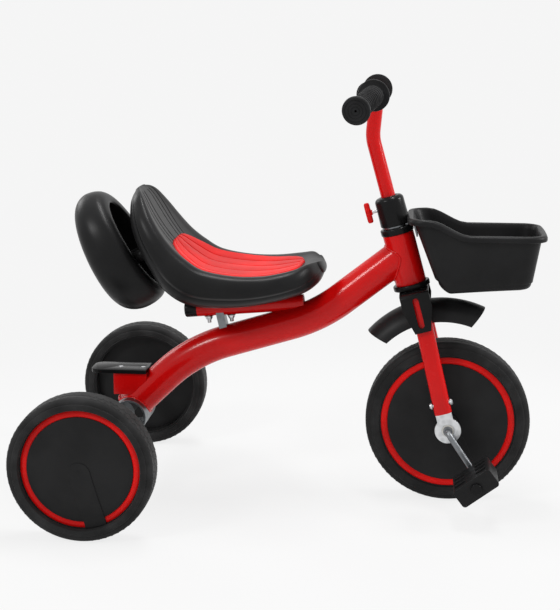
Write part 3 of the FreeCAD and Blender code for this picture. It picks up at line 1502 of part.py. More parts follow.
def rear_bin(seat_blank):
    """A rounded bin behind the backrest, its mouth towards the seat, on two posts."""
    forward = REAR_AXLE.moved(size.bin_x, 0, size.bin_z).turned("-Y", size.bin_lean).turned("+Y", 90)
    pod = doc.addObject("Part::Feature", "bin_pod")
    pod.Shape = bin_pod()
    pod.setExpression("Placement", forward.text)
    posts, screws = [], []
    reach, head = size.bin_depth + size.bin_floor * 4, size.bin_screw_radius * 8 / 5
    for name, side in SIDES.items():
        foot = forward.moved(size.bin_post_drop, side * size.bin_post_spread, 0)
        post_foot = foot.moved(0, 0, size.bin_floor)
        posts.append(cylinder(f"bin_post_{name}", post_foot, size.bin_post_radius, reach - size.bin_floor))
        shank = cylinder(f"bin_shank_{name}", foot.moved(0, 0, -head / 2), size.bin_screw_radius,
                         size.bin_screw_length)
        cap = cylinder(f"bin_head_{name}", foot.moved(0, 0, -head), size.bin_screw_radius * 2, head)
        screws.append(fused(f"bin_screw_{name}", shank, cap))
    keep(cut("rear_bin", fused("rear_bin", pod, *posts), seat_blank, *screws), "rear_bin")
    keep(grouped("bin_screws", *screws), "bin_screws")
    return screws


def pedals():
    """Both pedals, and the caps pressed on the ends of their spindles."""
    caps = [pedal(name, side) for name, side in SIDES.items()]
    keep(grouped("pedal_caps", *caps), "pedal_caps")


def main():
    for name, side in SIDES.items():
        rear_wheel(name, side)
    front_wheel()
    rear_axle()
    axle_bracket()
    main_tube()
    head_tube()
    headset_bushes()
    clear = footboard()
    bolts = seat_bar(clear)
    seat_solids(bolts)
    steerer()
    crown()
    cross_bolts = dropout_bolts()
    for name, side in SIDES.items():
        fork_leg(name, side, cross_bolts[name])
        dropout(name, side, cross_bolts[name])
        grip(name, side)
    axle_bushes()
    crank_axle()
    pedals()
    stem_tube()
    handlebar()
    stem_cap()
    clamp_knob()
    crown_cover()
    fender()
    basket(strap())
    doc.recompute()
    check()
    write()


def check():
    """Stops if any object failed or any piece isn't whole."""
    failed = [made.Name for made in doc.Objects if {"Invalid", "Error"} & set(made.State)]
    if failed:
        raise RuntimeError("failed: " + ", ".join(failed))
    for piece in NODES:
        if piece.Shape.isNull() or not piece.Shape.isValid() or not piece.Shape.Solids:
            raise RuntimeError(piece.Label + " has no valid shape")


def write():
    os.makedirs("parts", exist_ok=True)
    for piece in NODES:
        piece.Shape.exportStep(f"parts/{piece.Label}.step")
        box = piece.Shape.BoundBox
        print(f"{piece.Label:22s} {len(piece.Shape.Solids)} solid(s) {piece.Shape.Volume / 1000:9.1f} cm3"
              f"  x {box.XMin:7.1f} {box.XMax:7.1f}  y {box.YMin:7.1f} {box.YMax:7.1f}"
              f"  z {box.ZMin:7.1f} {box.ZMax:7.1f}")


main()
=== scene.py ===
"""Dresses a child's pedal tricycle: its mouldings, tyres, grips, fasteners and finishes.

The frame gives every node its size and place, in metres: +X forward, +Y the rider's left, +Z up.
"""
import json
import math

import bmesh
import bpy
from mathutils import Matrix, Vector
from mathutils.bvhtree import BVHTree


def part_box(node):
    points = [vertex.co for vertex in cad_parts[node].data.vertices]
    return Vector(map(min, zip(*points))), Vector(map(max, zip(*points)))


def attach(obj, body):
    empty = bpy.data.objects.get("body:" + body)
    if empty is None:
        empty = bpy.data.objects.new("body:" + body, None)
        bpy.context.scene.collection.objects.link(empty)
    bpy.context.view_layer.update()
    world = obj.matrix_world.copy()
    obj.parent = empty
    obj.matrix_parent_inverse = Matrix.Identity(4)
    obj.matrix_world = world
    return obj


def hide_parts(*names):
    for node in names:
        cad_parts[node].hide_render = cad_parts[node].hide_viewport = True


bl_info = {
    "name": "Children's tricycle",
    "version": (1, 0, 0),
    "blender": (4, 5, 0),
    "location": "3D View > Sidebar > Tricycle",
    "description": "Builds the mouldings, tyres, grips and finishes of a child's pedal tricycle",
    "category": "Add Mesh",
}

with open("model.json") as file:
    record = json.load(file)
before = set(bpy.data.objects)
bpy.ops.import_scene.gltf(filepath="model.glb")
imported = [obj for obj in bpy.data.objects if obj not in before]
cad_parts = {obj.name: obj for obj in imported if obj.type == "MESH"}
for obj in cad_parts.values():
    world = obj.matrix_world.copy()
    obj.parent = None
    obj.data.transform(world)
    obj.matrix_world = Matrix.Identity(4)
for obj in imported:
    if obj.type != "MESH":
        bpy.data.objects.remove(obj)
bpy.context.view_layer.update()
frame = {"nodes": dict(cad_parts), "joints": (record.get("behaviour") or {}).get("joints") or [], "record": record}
JOINTS = {joint["name"]: joint for joint in frame["joints"]}
SLOTS = {part["node"]: part["material_slot"] for part in frame["record"]["subparts"]}
BODIES = {node: body for body, nodes in frame["record"]["behaviour"]["bodies"].items() for node in nodes}
FRONT_AXLE = Vector(JOINTS["front_wheel_spin"]["pos_m"])
REAR_HUB = Vector(JOINTS["rear_wheel_left_spin"]["pos_m"])
REAR_AXLE = Vector((REAR_HUB.x, 0, REAR_HUB.z))
UP_STEERER = Vector(JOINTS["steering_turn"]["axis"]).normalized()
SIDES = {"left": 1, "right": -1}
MM = 0.001
BACKDROP = (0.915, 0.915, 0.915)


# ---------------------------------------------------------------- places

def axes_at(origin, along_x, along_z):
    """A placement whose X and Z lie along the given directions."""
    z = Vector(along_z).normalized()
    y = z.cross(Vector(along_x)).normalized()
    x = y.cross(z)
    turn = Matrix((x, y, z)).transposed().to_4x4()
    return Matrix.Translation(origin) @ turn


STEERER = axes_at(FRONT_AXLE, (1, 0, 0), UP_STEERER)
AHEAD = STEERER.to_3x3() @ Vector((1, 0, 0))        # forward, square to the steerer


def box_middle(node):
    """The middle of a node's box."""
    low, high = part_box(node)
    return (low + high) / 2


# ---------------------------------------------------------------- settings

def length(name, description, default):
    """A setting in metres."""
    return bpy.props.FloatProperty(
        name=name, description=description, default=default, min=0, unit="LENGTH")


def colour(name, description, default):
    """A colour setting."""
    return bpy.props.FloatVectorProperty(
        name=name, description=description, default=default, size=3, min=0, max=1, subtype="COLOR")


class TrikeColours(bpy.types.PropertyGroup):
    """Colours of the finishes."""
    paint: colour("Paint", "Powder coat on the frame, fork and handlebar", (0.55, 0.003, 0.003))
    trim: colour("Trim", "Rings, pad and knob", (0.54, 0.005, 0.004))
    plastic: colour("Plastic", "Seat, bin, basket and covers", (0.011, 0.011, 0.0113))
    tyre: colour("Tyre", "Foam rubber of the tyres", (0.017, 0.017, 0.0172))
    grip: colour("Grip", "Soft rubber of the grips", (0.011, 0.011, 0.0115))
    floor: colour("Floor", "Floor and backdrop", (0.86, 0.86, 0.86))


class TrikeMouldings(bpy.types.PropertyGroup):
    """Sizes of the moulded pieces."""
    seat_half_width: length("Seat half width", "From the middle to the widest place", 0.115)
    back_groove: length("Backrest groove", "Depth of the grooves in the backrest", 0.0012)
    pad_rise: length("Pad rise", "Height of the pad's edge over the seat", 0.0020)
    pad_crown: length("Pad crown", "How far each band of the pad swells", 0.0009)
    pad_groove: length("Pad groove", "Depth of the grooves along the pad", 0.0038)
    basket_wall: length("Basket wall", "Thickness of the basket's walls", 0.0025)
    basket_lip: length("Basket lip", "Width of the rolled rim", 0.008)
    bin_rim: length("Bin rim", "Width of the rim round the bin's mouth", 0.027)
    bin_wedge: bpy.props.FloatProperty(
        name="Bin wedge", description="Tilt of the mouth against the back, in degrees", default=6.5)


class TrikeWheels(bpy.types.PropertyGroup):
    """Sizes of the tyres and grips."""
    shoulder: length("Shoulder", "Rounding between tread and sidewall", 0.0075)
    tread_depth: length("Tread depth", "Depth of the tread's cuts", 0.0009)
    tread_pitch: length("Tread pitch", "Spacing of the tread's cuts", 0.0105)
    grip_rings: bpy.props.IntProperty(
        name="Grip rings", description="Rings along each grip", default=11, min=1)
    ring_height: length("Ring height", "How far each ring stands out of the grip", 0.0011)


class TrikeFrame(bpy.types.PropertyGroup):
    """Sizes of the painted frame."""
    tube_bend: length("Tube bend", "Radius of the main tube's bends", 0.24)
    weld_bead: length("Weld bead", "Radius of the beads at the tube's ends", 0.0021)


# ---------------------------------------------------------------- finishes

class Value:
    """A shader value. Arithmetic on it adds the Math nodes."""

    def __init__(self, finish, socket):
        self.finish, self.socket = finish, socket

    def _math(self, operation, first, second):
        node = self.finish.add("ShaderNodeMath", {"operation": operation}, {0: first, 1: second})
        return Value(self.finish, node.outputs[0])

    def __add__(self, other):
        return self._math("ADD", self, other)

    __radd__ = __add__

    def __mul__(self, other):
        return self._math("MULTIPLY", self, other)

    __rmul__ = __mul__

    def __rsub__(self, other):
        return self._math("SUBTRACT", other, self)

    def step(self, low, high):
        """0 below low, 1 above high and smooth between."""
        node = self.finish.add("ShaderNodeMapRange", {"interpolation_type": "SMOOTHSTEP"}, {
            "Value": self, "From Min": low, "From Max": high, "To Min": 0.0, "To Max": 1.0})
        return Value(self.finish, node.outputs[0])


class Finish:
    """A material on the shader's own sockets, with patterns on object coordinates."""

    def __init__(self, name, **constants):
        self.material = bpy.data.materials.new(name)
        self.material.use_nodes = True
        self.nodes, self.links = self.material.node_tree.nodes, self.material.node_tree.links
        self.shader = self.nodes["Principled BSDF"]
        for socket, value in constants.items():
            self.shader.inputs[socket.replace("_", " ")].default_value = value
        self.place = self.add("ShaderNodeTexCoord", {}, {}).outputs["Object"]

    def add(self, kind, settings, inputs):
        """A node of a kind: settings are set first, then socket values or links."""
        node = self.nodes.new(kind)
        for key, value in settings.items():
            setattr(node, key, value)
        for key, value in inputs.items():
            source = value.socket if isinstance(value, Value) else value
            if isinstance(source, bpy.types.NodeSocket):
                self.links.new(source, node.inputs[key])
            else:
                node.inputs[key].default_value = source
        return node

    def noise(self, scale, detail=3.0, stretch=(1.0, 1.0, 1.0)):
        """Cloudy noise about 0.5, stretched along the axes."""
        vector = self.place
        if stretch != (1.0, 1.0, 1.0):
            vector = self.add("ShaderNodeMapping", {}, {"Vector": vector, "Scale": stretch}).outputs[0]
        node = self.add("ShaderNodeTexNoise", {}, {
            "Vector": vector, "Scale": scale, "Detail": detail, "Roughness": 0.55})
        return Value(self, node.outputs["Fac"])

    def cells(self, scale):
        """The distance to the nearest of scattered points."""
        node = self.add("ShaderNodeTexVoronoi", {"feature": "F1"}, {
            "Vector": self.place, "Scale": scale})
        return Value(self, node.outputs["Distance"])

    def blend(self, low, high, mask):
        """A colour between two, by a mask."""
        # the node has several sockets of the same names, so they are taken by number
        mask_in, low_in, high_in, colour_out = 0, 6, 7, 2
        node = self.add("ShaderNodeMix", {"data_type": "RGBA"}, {
            mask_in: mask, low_in: (*low, 1.0), high_in: (*high, 1.0)})
        return node.outputs[colour_out]

    def feed(self, socket, value):
        """Links a value to one of the shader's sockets."""
        source = value.socket if isinstance(value, Value) else value
        self.links.new(source, self.shader.inputs[socket])

    def bump(self, height, strength, distance):
        """Relief on the shader's normal."""
        node = self.add("ShaderNodeBump", {}, {
            "Strength": strength, "Distance": distance, "Height": height})
        self.links.new(node.outputs[0], self.shader.inputs["Normal"])


def tinted(rgb, share):
    """The colour made darker or lighter."""
    return tuple(min(1.0, channel * share) for channel in rgb)


def powder_coat(name, rgb):
    """Gloss powder coat: faint orange peel and cloudy depth."""
    finish = Finish(name, Coat_Weight=0.22, Coat_Roughness=0.12, Specular_IOR_Level=0.10)
    cloud = finish.noise(9.0, 3.0)
    finish.feed("Base Color", finish.blend(tinted(rgb, 0.92), tinted(rgb, 1.08), cloud.step(0.3, 0.7)))
    finish.feed("Roughness", 0.24 + 0.06 * finish.noise(40.0))
    finish.bump(finish.noise(420.0, 2.0), strength=0.05, distance=0.0006)
    return finish.material


def moulded(name, rgb, roughness, grain=900.0, strength=0.25):
    """Moulded plastic with a fine spark-eroded grain and a little unevenness in its sheen."""
    finish = Finish(name, Specular_IOR_Level=0.11)
    flow = finish.noise(14.0, 4.0)
    finish.feed("Base Color", finish.blend(tinted(rgb, 0.85), tinted(rgb, 1.25), flow.step(0.3, 0.72)))
    finish.feed("Roughness", roughness - 0.05 + 0.1 * finish.noise(60.0, 4.0))
    relief = finish.cells(grain) * 0.6 + finish.noise(grain * 1.3, 2.0) * 0.4
    finish.bump(relief, strength, distance=0.00018)
    return finish.material


def foam_rubber(name, rgb):
    """Foam rubber: matt, faintly mottled, with fine pores."""
    finish = Finish(name, Specular_IOR_Level=0.10, Sheen_Weight=0.10, Sheen_Roughness=0.35)
    dust = finish.noise(26.0, 5.0)
    pores = finish.cells(1500.0)
    finish.feed("Base Color", finish.blend(tinted(rgb, 0.8), tinted(rgb, 1.6), dust.step(0.35, 0.75)))
    finish.feed("Roughness", 0.6 + 0.14 * finish.noise(80.0))
    finish.bump(pores * 0.5 + finish.noise(700.0), strength=0.4, distance=0.00025)
    return finish.material


def plated(name, rgb, roughness, spangle):
    """Plated steel with faint spangle and drawing lines."""
    finish = Finish(name, Metallic=1.0)
    patches = finish.cells(spangle)
    finish.feed("Base Color", finish.blend(tinted(rgb, 0.86), tinted(rgb, 1.08), patches.step(0.15, 0.75)))
    streaks = finish.noise(60.0, 3.0, stretch=(1.0, 1.0, 14.0))
    finish.feed("Roughness", roughness + 0.12 * streaks)
    finish.bump(streaks, strength=0.08, distance=0.0002)
    return finish.material


FINISHES = {}


def make_finishes(colours):
    """Every finish of the tricycle, from its colours."""
    red, trim, black = tuple(colours.paint), tuple(colours.trim), tuple(colours.plastic)
    FINISHES.update({
        "paint": powder_coat("red_powder_coat", red),
        "trim": moulded("red_moulded", trim, roughness=0.26, grain=1400.0, strength=0.08),
        "pad": moulded("red_pad", trim, roughness=0.42, grain=1600.0, strength=0.06),
        "seat": moulded("black_seat", black, roughness=0.34, grain=1100.0, strength=0.18),
        "satin": moulded("black_satin", black, roughness=0.40),
        "disc": moulded("black_disc", tinted(black, 1.15), roughness=0.50, grain=700.0),
        "gloss": moulded("black_gloss", tinted(black, 0.6), roughness=0.22, grain=1500.0, strength=0.08),
        "tyre": foam_rubber("foam_tyre", tuple(colours.tyre)),
        "grip": foam_rubber("grip_rubber", tuple(colours.grip)),
        "zinc": plated("zinc_plate", (0.62, 0.63, 0.64), roughness=0.26, spangle=130.0),
        # dark plating: partly a darker zinc, partly painted shade, so chrome and zinc parts that sit in shade or
        # in bores look dark
        "zinc_dark_and_shade": plated("dark_zinc_and_painted_shade", (0.20, 0.21, 0.22), roughness=0.32, spangle=110.0),
        "nylon": moulded("pale_nylon", (0.62, 0.61, 0.57), roughness=0.45),
    })


# ---------------------------------------------------------------- mesh makers

class Form:
    """Points and faces gathered for one piece."""

    def __init__(self):
        self.points, self.faces = [], []

    def loop(self, points):
        """The places of new points in the form's list."""
        start = len(self.points)
        self.points.extend(Vector(point) for point in points)
        return list(range(start, len(self.points)))

    def join(self, first, second, closed=True):
        """Faces from one loop to the next."""
        count = len(first)
        for index in range(count if closed else count - 1):
            after = (index + 1) % count
            self.faces.append((first[index], first[after], second[after], second[index]))

    def cap(self, ring):
        """Faces from a ring to its middle."""
        middle = sum((self.points[index] for index in ring), Vector()) / len(ring)
        centre = self.loop([middle])[0]
        for index, start in enumerate(ring):
            self.faces.append((start, ring[(index + 1) % len(ring)], centre))

    def skin(self, rings, around=False):
        """Joins rings one to the next, and closes the ends or joins the last to the first."""
        loops = [self.loop(ring) for ring in rings]
        for first, second in zip(loops, loops[1:]):
            self.join(first, second)
        if around:
            self.join(loops[-1], loops[0])
        else:
            self.cap(loops[0])
            self.cap(loops[-1])

    def lathe(self, place, profile, count=96, closed=True):
        """Turns a profile of (radius, height) about the place's Z axis."""
        rings = []
        for radius, height in profile:
            ring = []
            for index in range(count):
                turn = 2 * math.pi * index / count
                ring.append(place @ Vector((radius * math.cos(turn), radius * math.sin(turn), height)))
            rings.append(ring)
        self.skin(rings, around=closed)


def to_mesh(form, name):
    """The form as a mesh, its doubles merged and its faces outwards."""
    mesh = bpy.data.meshes.new(name)
    mesh.from_pydata([tuple(point) for point in form.points], [], form.faces)
    made = bmesh.new()
    made.from_mesh(mesh)
    bmesh.ops.remove_doubles(made, verts=made.verts, dist=1e-6)
    bmesh.ops.dissolve_degenerate(made, edges=made.edges, dist=1e-7)
    bmesh.ops.recalc_face_normals(made, faces=made.faces)
    made.to_mesh(mesh)
    made.free()
    return mesh


def make_plain(name, form):
    """The form as an object, without a finish."""
    piece = bpy.data.objects.new(name, to_mesh(form, name))
    bpy.context.scene.collection.objects.link(piece)
    return piece


def flatten(piece, mesh_name):
    """Makes the piece's modifiers part of its mesh."""
    bpy.context.view_layer.update()
    shown = piece.evaluated_get(bpy.context.evaluated_depsgraph_get())
    mesh = bpy.data.meshes.new_from_object(shown)
    piece.modifiers.clear()
    piece.data = mesh
    mesh.name = mesh_name


def smooth(piece, angle):
    """Smooth shading, but for edges sharper than the angle in degrees."""
    piece.data.shade_smooth()
    piece.data.set_sharp_from_angle(angle=math.radians(angle))


def bevelled(piece, width, segments, angle):
    """Rounds the piece's edges that are sharper than the angle in degrees."""
    edge = piece.modifiers.new("edge", "BEVEL")
    edge.width, edge.segments, edge.limit_method = width, segments, "ANGLE"
    edge.angle_limit = math.radians(angle)
    flatten(piece, piece.name)


def settle(piece, finish, body, replaces=()):
    """Gives a piece its finish and its body, and hides the nodes that it stands for."""
    piece.data.materials.clear()
    piece.data.materials.append(FINISHES[finish])
    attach(piece, body)
    if replaces:
        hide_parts(*replaces)


def make_piece(name, form, finish, body, replaces=(), angle=35.0):
    """One finished piece of the tricycle, riding on its body."""
    piece = make_plain(name, form)
    smooth(piece, angle)
    settle(piece, finish, body, replaces)


def smooth_through(points, position):
    """A point on a smooth curve through points, at a position counted in points."""
    last = len(points) - 1
    index = max(0, min(last - 1, int(math.floor(position))))
    share = position - index
    before = points[max(index - 1, 0)]
    start, end = points[index], points[index + 1]
    after = points[min(index + 2, last)]
    out = []
    for a, b, c, d in zip(before, start, end, after):
        out.append(0.5 * (2 * b + (c - a) * share + (2 * a - 5 * b + 4 * c - d) * share ** 2
                          + (3 * b - a - 3 * c + d) * share ** 3))
    return out


def between(low, high, value):
    """0 below low, 1 above high, smooth between."""
    share = max(0.0, min(1.0, (value - low) / (high - low)))
    return share * share * (3 - 2 * share)


def groove(distance, width):
    """1 in the middle of a groove, falling to 0 at its edges."""
    sharpness = 0.42
    return math.exp(-(distance / (width * sharpness)) ** 2)


# ---------------------------------------------------------------- seat, pad and bin

# The seat is cut across from the top of the backrest, down into its bowl and out to its nose:
# upper point (x, z) and lower point (x, z) in mm from the rear axle, share of the half width.
SEAT_CUTS = [
    (46, 371, 40, 367, 0.22), (51, 367, 37, 358, 0.40), (58, 358, 36, 348, 0.56),
    (70, 337, 38, 324, 0.75), (85, 313, 48, 292, 0.87), (103, 290, 67, 255, 0.93),
    (125, 270, 92, 220, 0.98), (153, 254, 132, 199, 1.00), (200, 247, 197, 198, 0.99),
    (245, 248, 251, 206, 0.94), (284, 255, 296, 218, 0.80), (306, 262, 319, 232, 0.58),
    (318, 263, 327, 246, 0.30),
]
# Half a cut, from the middle of the underside round to the middle of the bowl:
# share of the half width, share of the height.
SEAT_SIDE = [
    (0, 0), (0.30, 0), (0.55, 0.04), (0.72, 0.11), (0.82, 0.20), (0.88, 0.30), (0.912, 0.385),
    (0.925, 0.43), (0.965, 0.50), (0.985, 0.60), (1.0, 0.75), (0.99, 0.92), (0.96, 1.04),
    (0.91, 1.105), (0.86, 1.125), (0.79, 1.11), (0.69, 1.065), (0.60, 1.038), (0.52, 1.02),
    (0.44, 1.01), (0.36, 1.003), (0.28, 1.0), (0.21, 1.0), (0.14, 1.0), (0.07, 1.0), (0, 1.0),
]
NARROWEST = 0.05                    # the least share of the half width
BOWL_SIDE = 0.6                     # the half cut faces into the bowl from this share on
# The backrest's grooves, counted in cuts: begun, full, fading and run out.
BACK_RUN = (0.9, 1.6, 4.7, 5.9)
BACK_LINES = (1.0, 0.68, 0.34)      # their places out from the middle, as shares of their spread
BACK_SPREAD = (0.72, 0.42)          # their spread at the top and where they have run out
SPREAD_FROM = 0.8                   # the cut at which the spread starts to narrow
BACK_GROOVE_WIDTH = 0.0026
# Which end ring, its neighbour, and how far the dome that closes it swells.
SEAT_DOMES = ((0, 1, 0.0024), (-1, -2, 0.0060))


def seat_cut(position, half_width, groove_depth, count):
    """One ring round the seat, at a position counted in cuts."""
    top_x, top_z, low_x, low_z, share = smooth_through(SEAT_CUTS, position)
    top, low = Vector((top_x, top_z)) * MM, Vector((low_x, low_z)) * MM
    rise = top - low
    down = -rise.normalized()
    half = half_width * max(share, NARROWEST)
    begun, full, fading, ended = BACK_RUN
    run = between(begun, full, position) * (1 - between(fading, ended, position))
    wide_spread, narrow_spread = BACK_SPREAD
    spread = wide_spread + (narrow_spread - wide_spread) * between(SPREAD_FROM, ended, position)
    ring = []
    for index in range(count * 2):
        side = 1 if index < count else -1
        place = index if index < count else count * 2 - index
        wide, height = smooth_through(SEAT_SIDE, place / count * (len(SEAT_SIDE) - 1))
        point = low + rise * height
        if run and place > count * BOWL_SIDE:
            depth = max(groove((wide - spread * line) * half, BACK_GROOVE_WIDTH) for line in BACK_LINES)
            point += down * groove_depth * depth * run
        ring.append(REAR_AXLE + Vector((point.x, side * wide * half, point.y)))
    return ring


def seat_form(half_width, groove_depth):
    """The seat: rings from the top of the backrest to the nose, with a soft dome at each end."""
    form = Form()
    steps, count, dome_steps = 210, 120, 9
    last = len(SEAT_CUTS) - 1
    rings = [seat_cut(last * step / steps, half_width, groove_depth, count) for step in range(steps + 1)]
    for end, inner, reach in SEAT_DOMES:
        middle = sum(rings[end], Vector()) / len(rings[end])
        outward = (middle - sum(rings[inner], Vector()) / len(rings[inner])).normalized()
        domes = []
        for step in range(1, dome_steps):
            turn = math.pi / 2 * step / dome_steps
            swell = outward * reach * math.sin(turn)
            domes.append([middle + (point - middle) * math.cos(turn) + swell for point in rings[end]])
        rings = domes[::-1] + rings if end == 0 else rings + domes
    form.skin(rings)
    return form


# The pad's outline from above, in mm: ahead of the rear axle, and half width.
PAD_SIDE = [
    (99, 0), (100, 34), (105, 55), (117, 73), (136, 85), (164, 91), (203, 91), (240, 83), (270, 70),
    (289, 46), (297, 0),
]
PAD_LINES = (0.235, 0.66)           # the pad's grooves, out from the middle
PAD_BANDS = (-1.0, *(-line for line in reversed(PAD_LINES)), *PAD_LINES, 1.0)
PAD_GROOVE_WIDTH = 0.0024
PAD_HALF_LENGTH = 0.098
PAD_EDGE = 0.0042                   # the width over which the pad's edge rises
PAD_SUNK = 0.0006                   # how far the pad's edge lies in the seat
PAD_UNDER = 0.003                   # how far its underside lies in the seat
LOOK_FROM = 0.6                     # a height over the axle from which the seat is looked down on


def pad_span(share):
    """The pad's half width, and how far ahead of the rear axle, at a share of its length."""
    x, y = smooth_through(PAD_SIDE, share * (len(PAD_SIDE) - 1))
    return max(y, 0.0) * MM, x * MM


def pad_form(settings, seat_tree):
    """The pad lies in the bowl: bands that swell a little between grooves from back to front."""
    form = Form()
    rows, columns = 110, 260

    def seat_at(share, across):
        """Where the seat lies under a place on the pad, which way it faces, and the half width."""
        half, ahead = pad_span(share)
        start = REAR_AXLE + Vector((ahead, across * half, LOOK_FROM))
        hit, normal = seat_tree.ray_cast(start, Vector((0, 0, -1)))[:2]
        return hit, -normal if normal.z < 0 else normal, half

    def upper(row, column):
        share, across = row / rows, 2 * column / columns - 1
        hit, normal, half = seat_at(share, across)
        rise = settings.pad_rise
        for low, high in zip(PAD_BANDS, PAD_BANDS[1:]):
            if low <= across <= high:
                rise += settings.pad_crown * (1 - (2 * (across - low) / (high - low) - 1) ** 2)
        for line in PAD_LINES:
            rise -= settings.pad_groove * groove((abs(across) - line) * half, PAD_GROOVE_WIDTH)
        edge = min((1 - abs(across)) * half, (1 - abs(2 * share - 1)) * PAD_HALF_LENGTH)
        return hit + normal * (rise * between(0.0, PAD_EDGE, edge) - PAD_SUNK)

    def under(row, column):
        hit, normal = seat_at(row / rows, 2 * column / columns - 1)[:2]
        return hit - normal * PAD_UNDER

    top, low = ([form.loop([at(row, column) for column in range(columns + 1)]) for row in range(1, rows)]
                for at in (upper, under))
    for (above, next_above), (below, next_below) in zip(zip(top, top[1:]), zip(low, low[1:])):
        form.join(above, next_above, closed=False)
        form.join(next_below, below, closed=False)
        for end in (0, -1):
            form.faces.append((above[end], next_above[end], next_below[end], below[end]))
    for end in (0, -1):
        form.join(top[end], low[end], closed=False)
    return form


BIN_LEAN = math.radians(25)             # the lean of the bin's back
BIN_BACK = Vector((-0.026, 0, 0.257))   # the middle of its back, from the rear axle
BIN_LONG, BIN_WIDE, BIN_DEEP = 0.098, 0.080, 0.068      # half length, half width and depth
BIN_SCREW_DOWN, BIN_SCREW_OUT = 0.020, 0.031            # the screws' places on its back
LEAST_HOLLOW = 0.002                    # the least half width of its hollow


def bin_place():
    """The bin's own axes: Z out of its mouth, X down its face."""
    lean_sin, lean_cos = math.sin(BIN_LEAN), math.cos(BIN_LEAN)
    return axes_at(REAR_AXLE + BIN_BACK, (lean_sin, 0, -lean_cos), (lean_cos, 0, lean_sin))


# The bin from its back to its mouth: share of its depth, share of its size.
BIN_SIDE = [
    (0, 0.0), (0, 0.25), (0.002, 0.42), (0.012, 0.60), (0.05, 0.76), (0.14, 0.88), (0.28, 0.96),
    (0.46, 1.0), (0.66, 0.995), (0.82, 0.965), (0.92, 0.92), (0.98, 0.86), (1.0, 0.79),
]
# Its hollow, from the rim down: share of the depth, how far in from the rim's edge in mm.
BIN_HOLLOW = [
    (1.0, -4), (0.992, -1.2), (0.97, 0.4), (0.92, 1.2), (0.80, 1.4), (0.60, 2.0), (0.40, 4.0),
    (0.27, 8.0), (0.20, 14.0), (0.17, 24.0), (0.165, 36.0), (0.165, 48.0),
]


def bin_form(settings):
    """The bin, from the middle of its back out over its rim and down into its hollow."""
    form = Form()
    place = bin_place()
    count, side_steps, hollow_steps = 144, 60, 40
    wedge = math.tan(math.radians(settings.bin_wedge))

    def ring(level, grow_long, grow_wide):
        points = []
        for index in range(count):
            turn = 2 * math.pi * index / count
            down = grow_long * math.cos(turn)
            out = level + down * wedge * level / BIN_DEEP
            points.append(place @ Vector((down, grow_wide * math.sin(turn), out)))
        return points

    rings = []
    for step in range(1, side_steps + 1):
        level, share = smooth_through(BIN_SIDE, step / side_steps * (len(BIN_SIDE) - 1))
        rings.append(ring(level * BIN_DEEP, BIN_LONG * share, BIN_WIDE * share))
    mouth_long, mouth_wide = BIN_LONG - settings.bin_rim, BIN_WIDE - settings.bin_rim
    for step in range(1, hollow_steps + 1):
        level, shrink = smooth_through(BIN_HOLLOW, step / hollow_steps * (len(BIN_HOLLOW) - 1))
        half = max(mouth_wide - shrink * MM, LEAST_HOLLOW)
        rings.append(ring(level * BIN_DEEP, mouth_long - shrink * MM, half))
    form.skin(rings)
    return form


# A post and the boss that it stands on: radius, height, in mm.
POST = [(0, 0), (13, 0), (10.4, 5), (9.4, 12), (9, 78), (0, 78)]
POST_FOOT = 0.008                       # how far into the bin the boss begins


def in_metres(profile):
    """A profile in millimetres, in metres."""
    return [(radius * MM, height * MM) for radius, height in profile]


def post_form():
    """The two posts between bin and backrest, each on a boss."""
    form = Form()
    for side in SIDES.values():
        foot = Matrix.Translation((BIN_SCREW_DOWN, side * BIN_SCREW_OUT, POST_FOOT))
        form.lathe(bin_place() @ foot, in_metres(POST), count=32, closed=False)
    return form


# ---------------------------------------------------------------- basket

STRAP_AHEAD, STRAP_UP = 0.0284, 0.3106  # the strap's front face, in the steerer's axes
# The basket is drawn in mm from there. Its floor and rim: rear, front, half width, corner.
FLOOR_PLAN, RIM_PLAN = (37, 173, 54, 16), (-3, 187, 65, 24)
FLOOR_MIDDLE = 104
OUT_FROM, OUT_STRETCH = 98, 1.5         # its walls grow outwards from here, less to front and rear
FLOOR_CORNER = 9.5                      # rounding between floor and walls
FLOOR_RINGS = (0.08, 0.25, 0.45, 0.65, 0.80)
INNER_FLOOR_RINGS = (0.75, 0.55, 0.35, 0.15, 0.05)
# The rolled rim, round its outer edge: in from the lip's edge, height.
RIM_OUTSIDE = [
    (2.2, -9.4), (1.0, -9.0), (0.2, -7.8), (0, -5.6), (0.2, -3.4), (1.2, -1.6), (3.0, -0.5), (5.4, 0.0),
]


def basket_place():
    """Level axes at the strap's front face, where the basket hangs."""
    return Matrix.Translation(STEERER @ Vector((STRAP_AHEAD, 0, STRAP_UP)))


def plan(rear, front, half, corner):
    """A rounded oblong from above, evenly spread so that two of them match point to point."""
    arc_steps, side_steps = 16, 14
    middles = [(front - corner, half - corner), (rear + corner, half - corner),
               (rear + corner, corner - half), (front - corner, corner - half)]

    def on_corner(index, turn):
        return Vector(middles[index % 4]) + corner * Vector((math.cos(turn), math.sin(turn)))

    points = []
    for index in range(4):
        start = math.pi / 2 * index
        for step in range(arc_steps + 1):
            points.append(on_corner(index, start + math.pi / 2 * step / arc_steps))
        first, last = points[-1], on_corner(index + 1, start + math.pi / 2)
        for step in range(1, side_steps):
            points.append(first.lerp(last, step / side_steps))
    return points


def rim_height(x):
    """The rim is high at the back, then steps down to run level to the front."""
    rear, drop, starts, ends = 10, 22, 22, 82
    return rear - drop * between(starts, ends, x)


def floor_level(x):
    """The floor rises a little to the front, and steeply at the back."""
    lowest, kink = -102, 52
    front_rise, front_run, rear_rise, rear_run = 8, 114, 14, 21
    if x > kink:
        return lowest + front_rise * (x - kink) / front_run
    return lowest + rear_rise * ((kink - x) / rear_run) ** 1.5


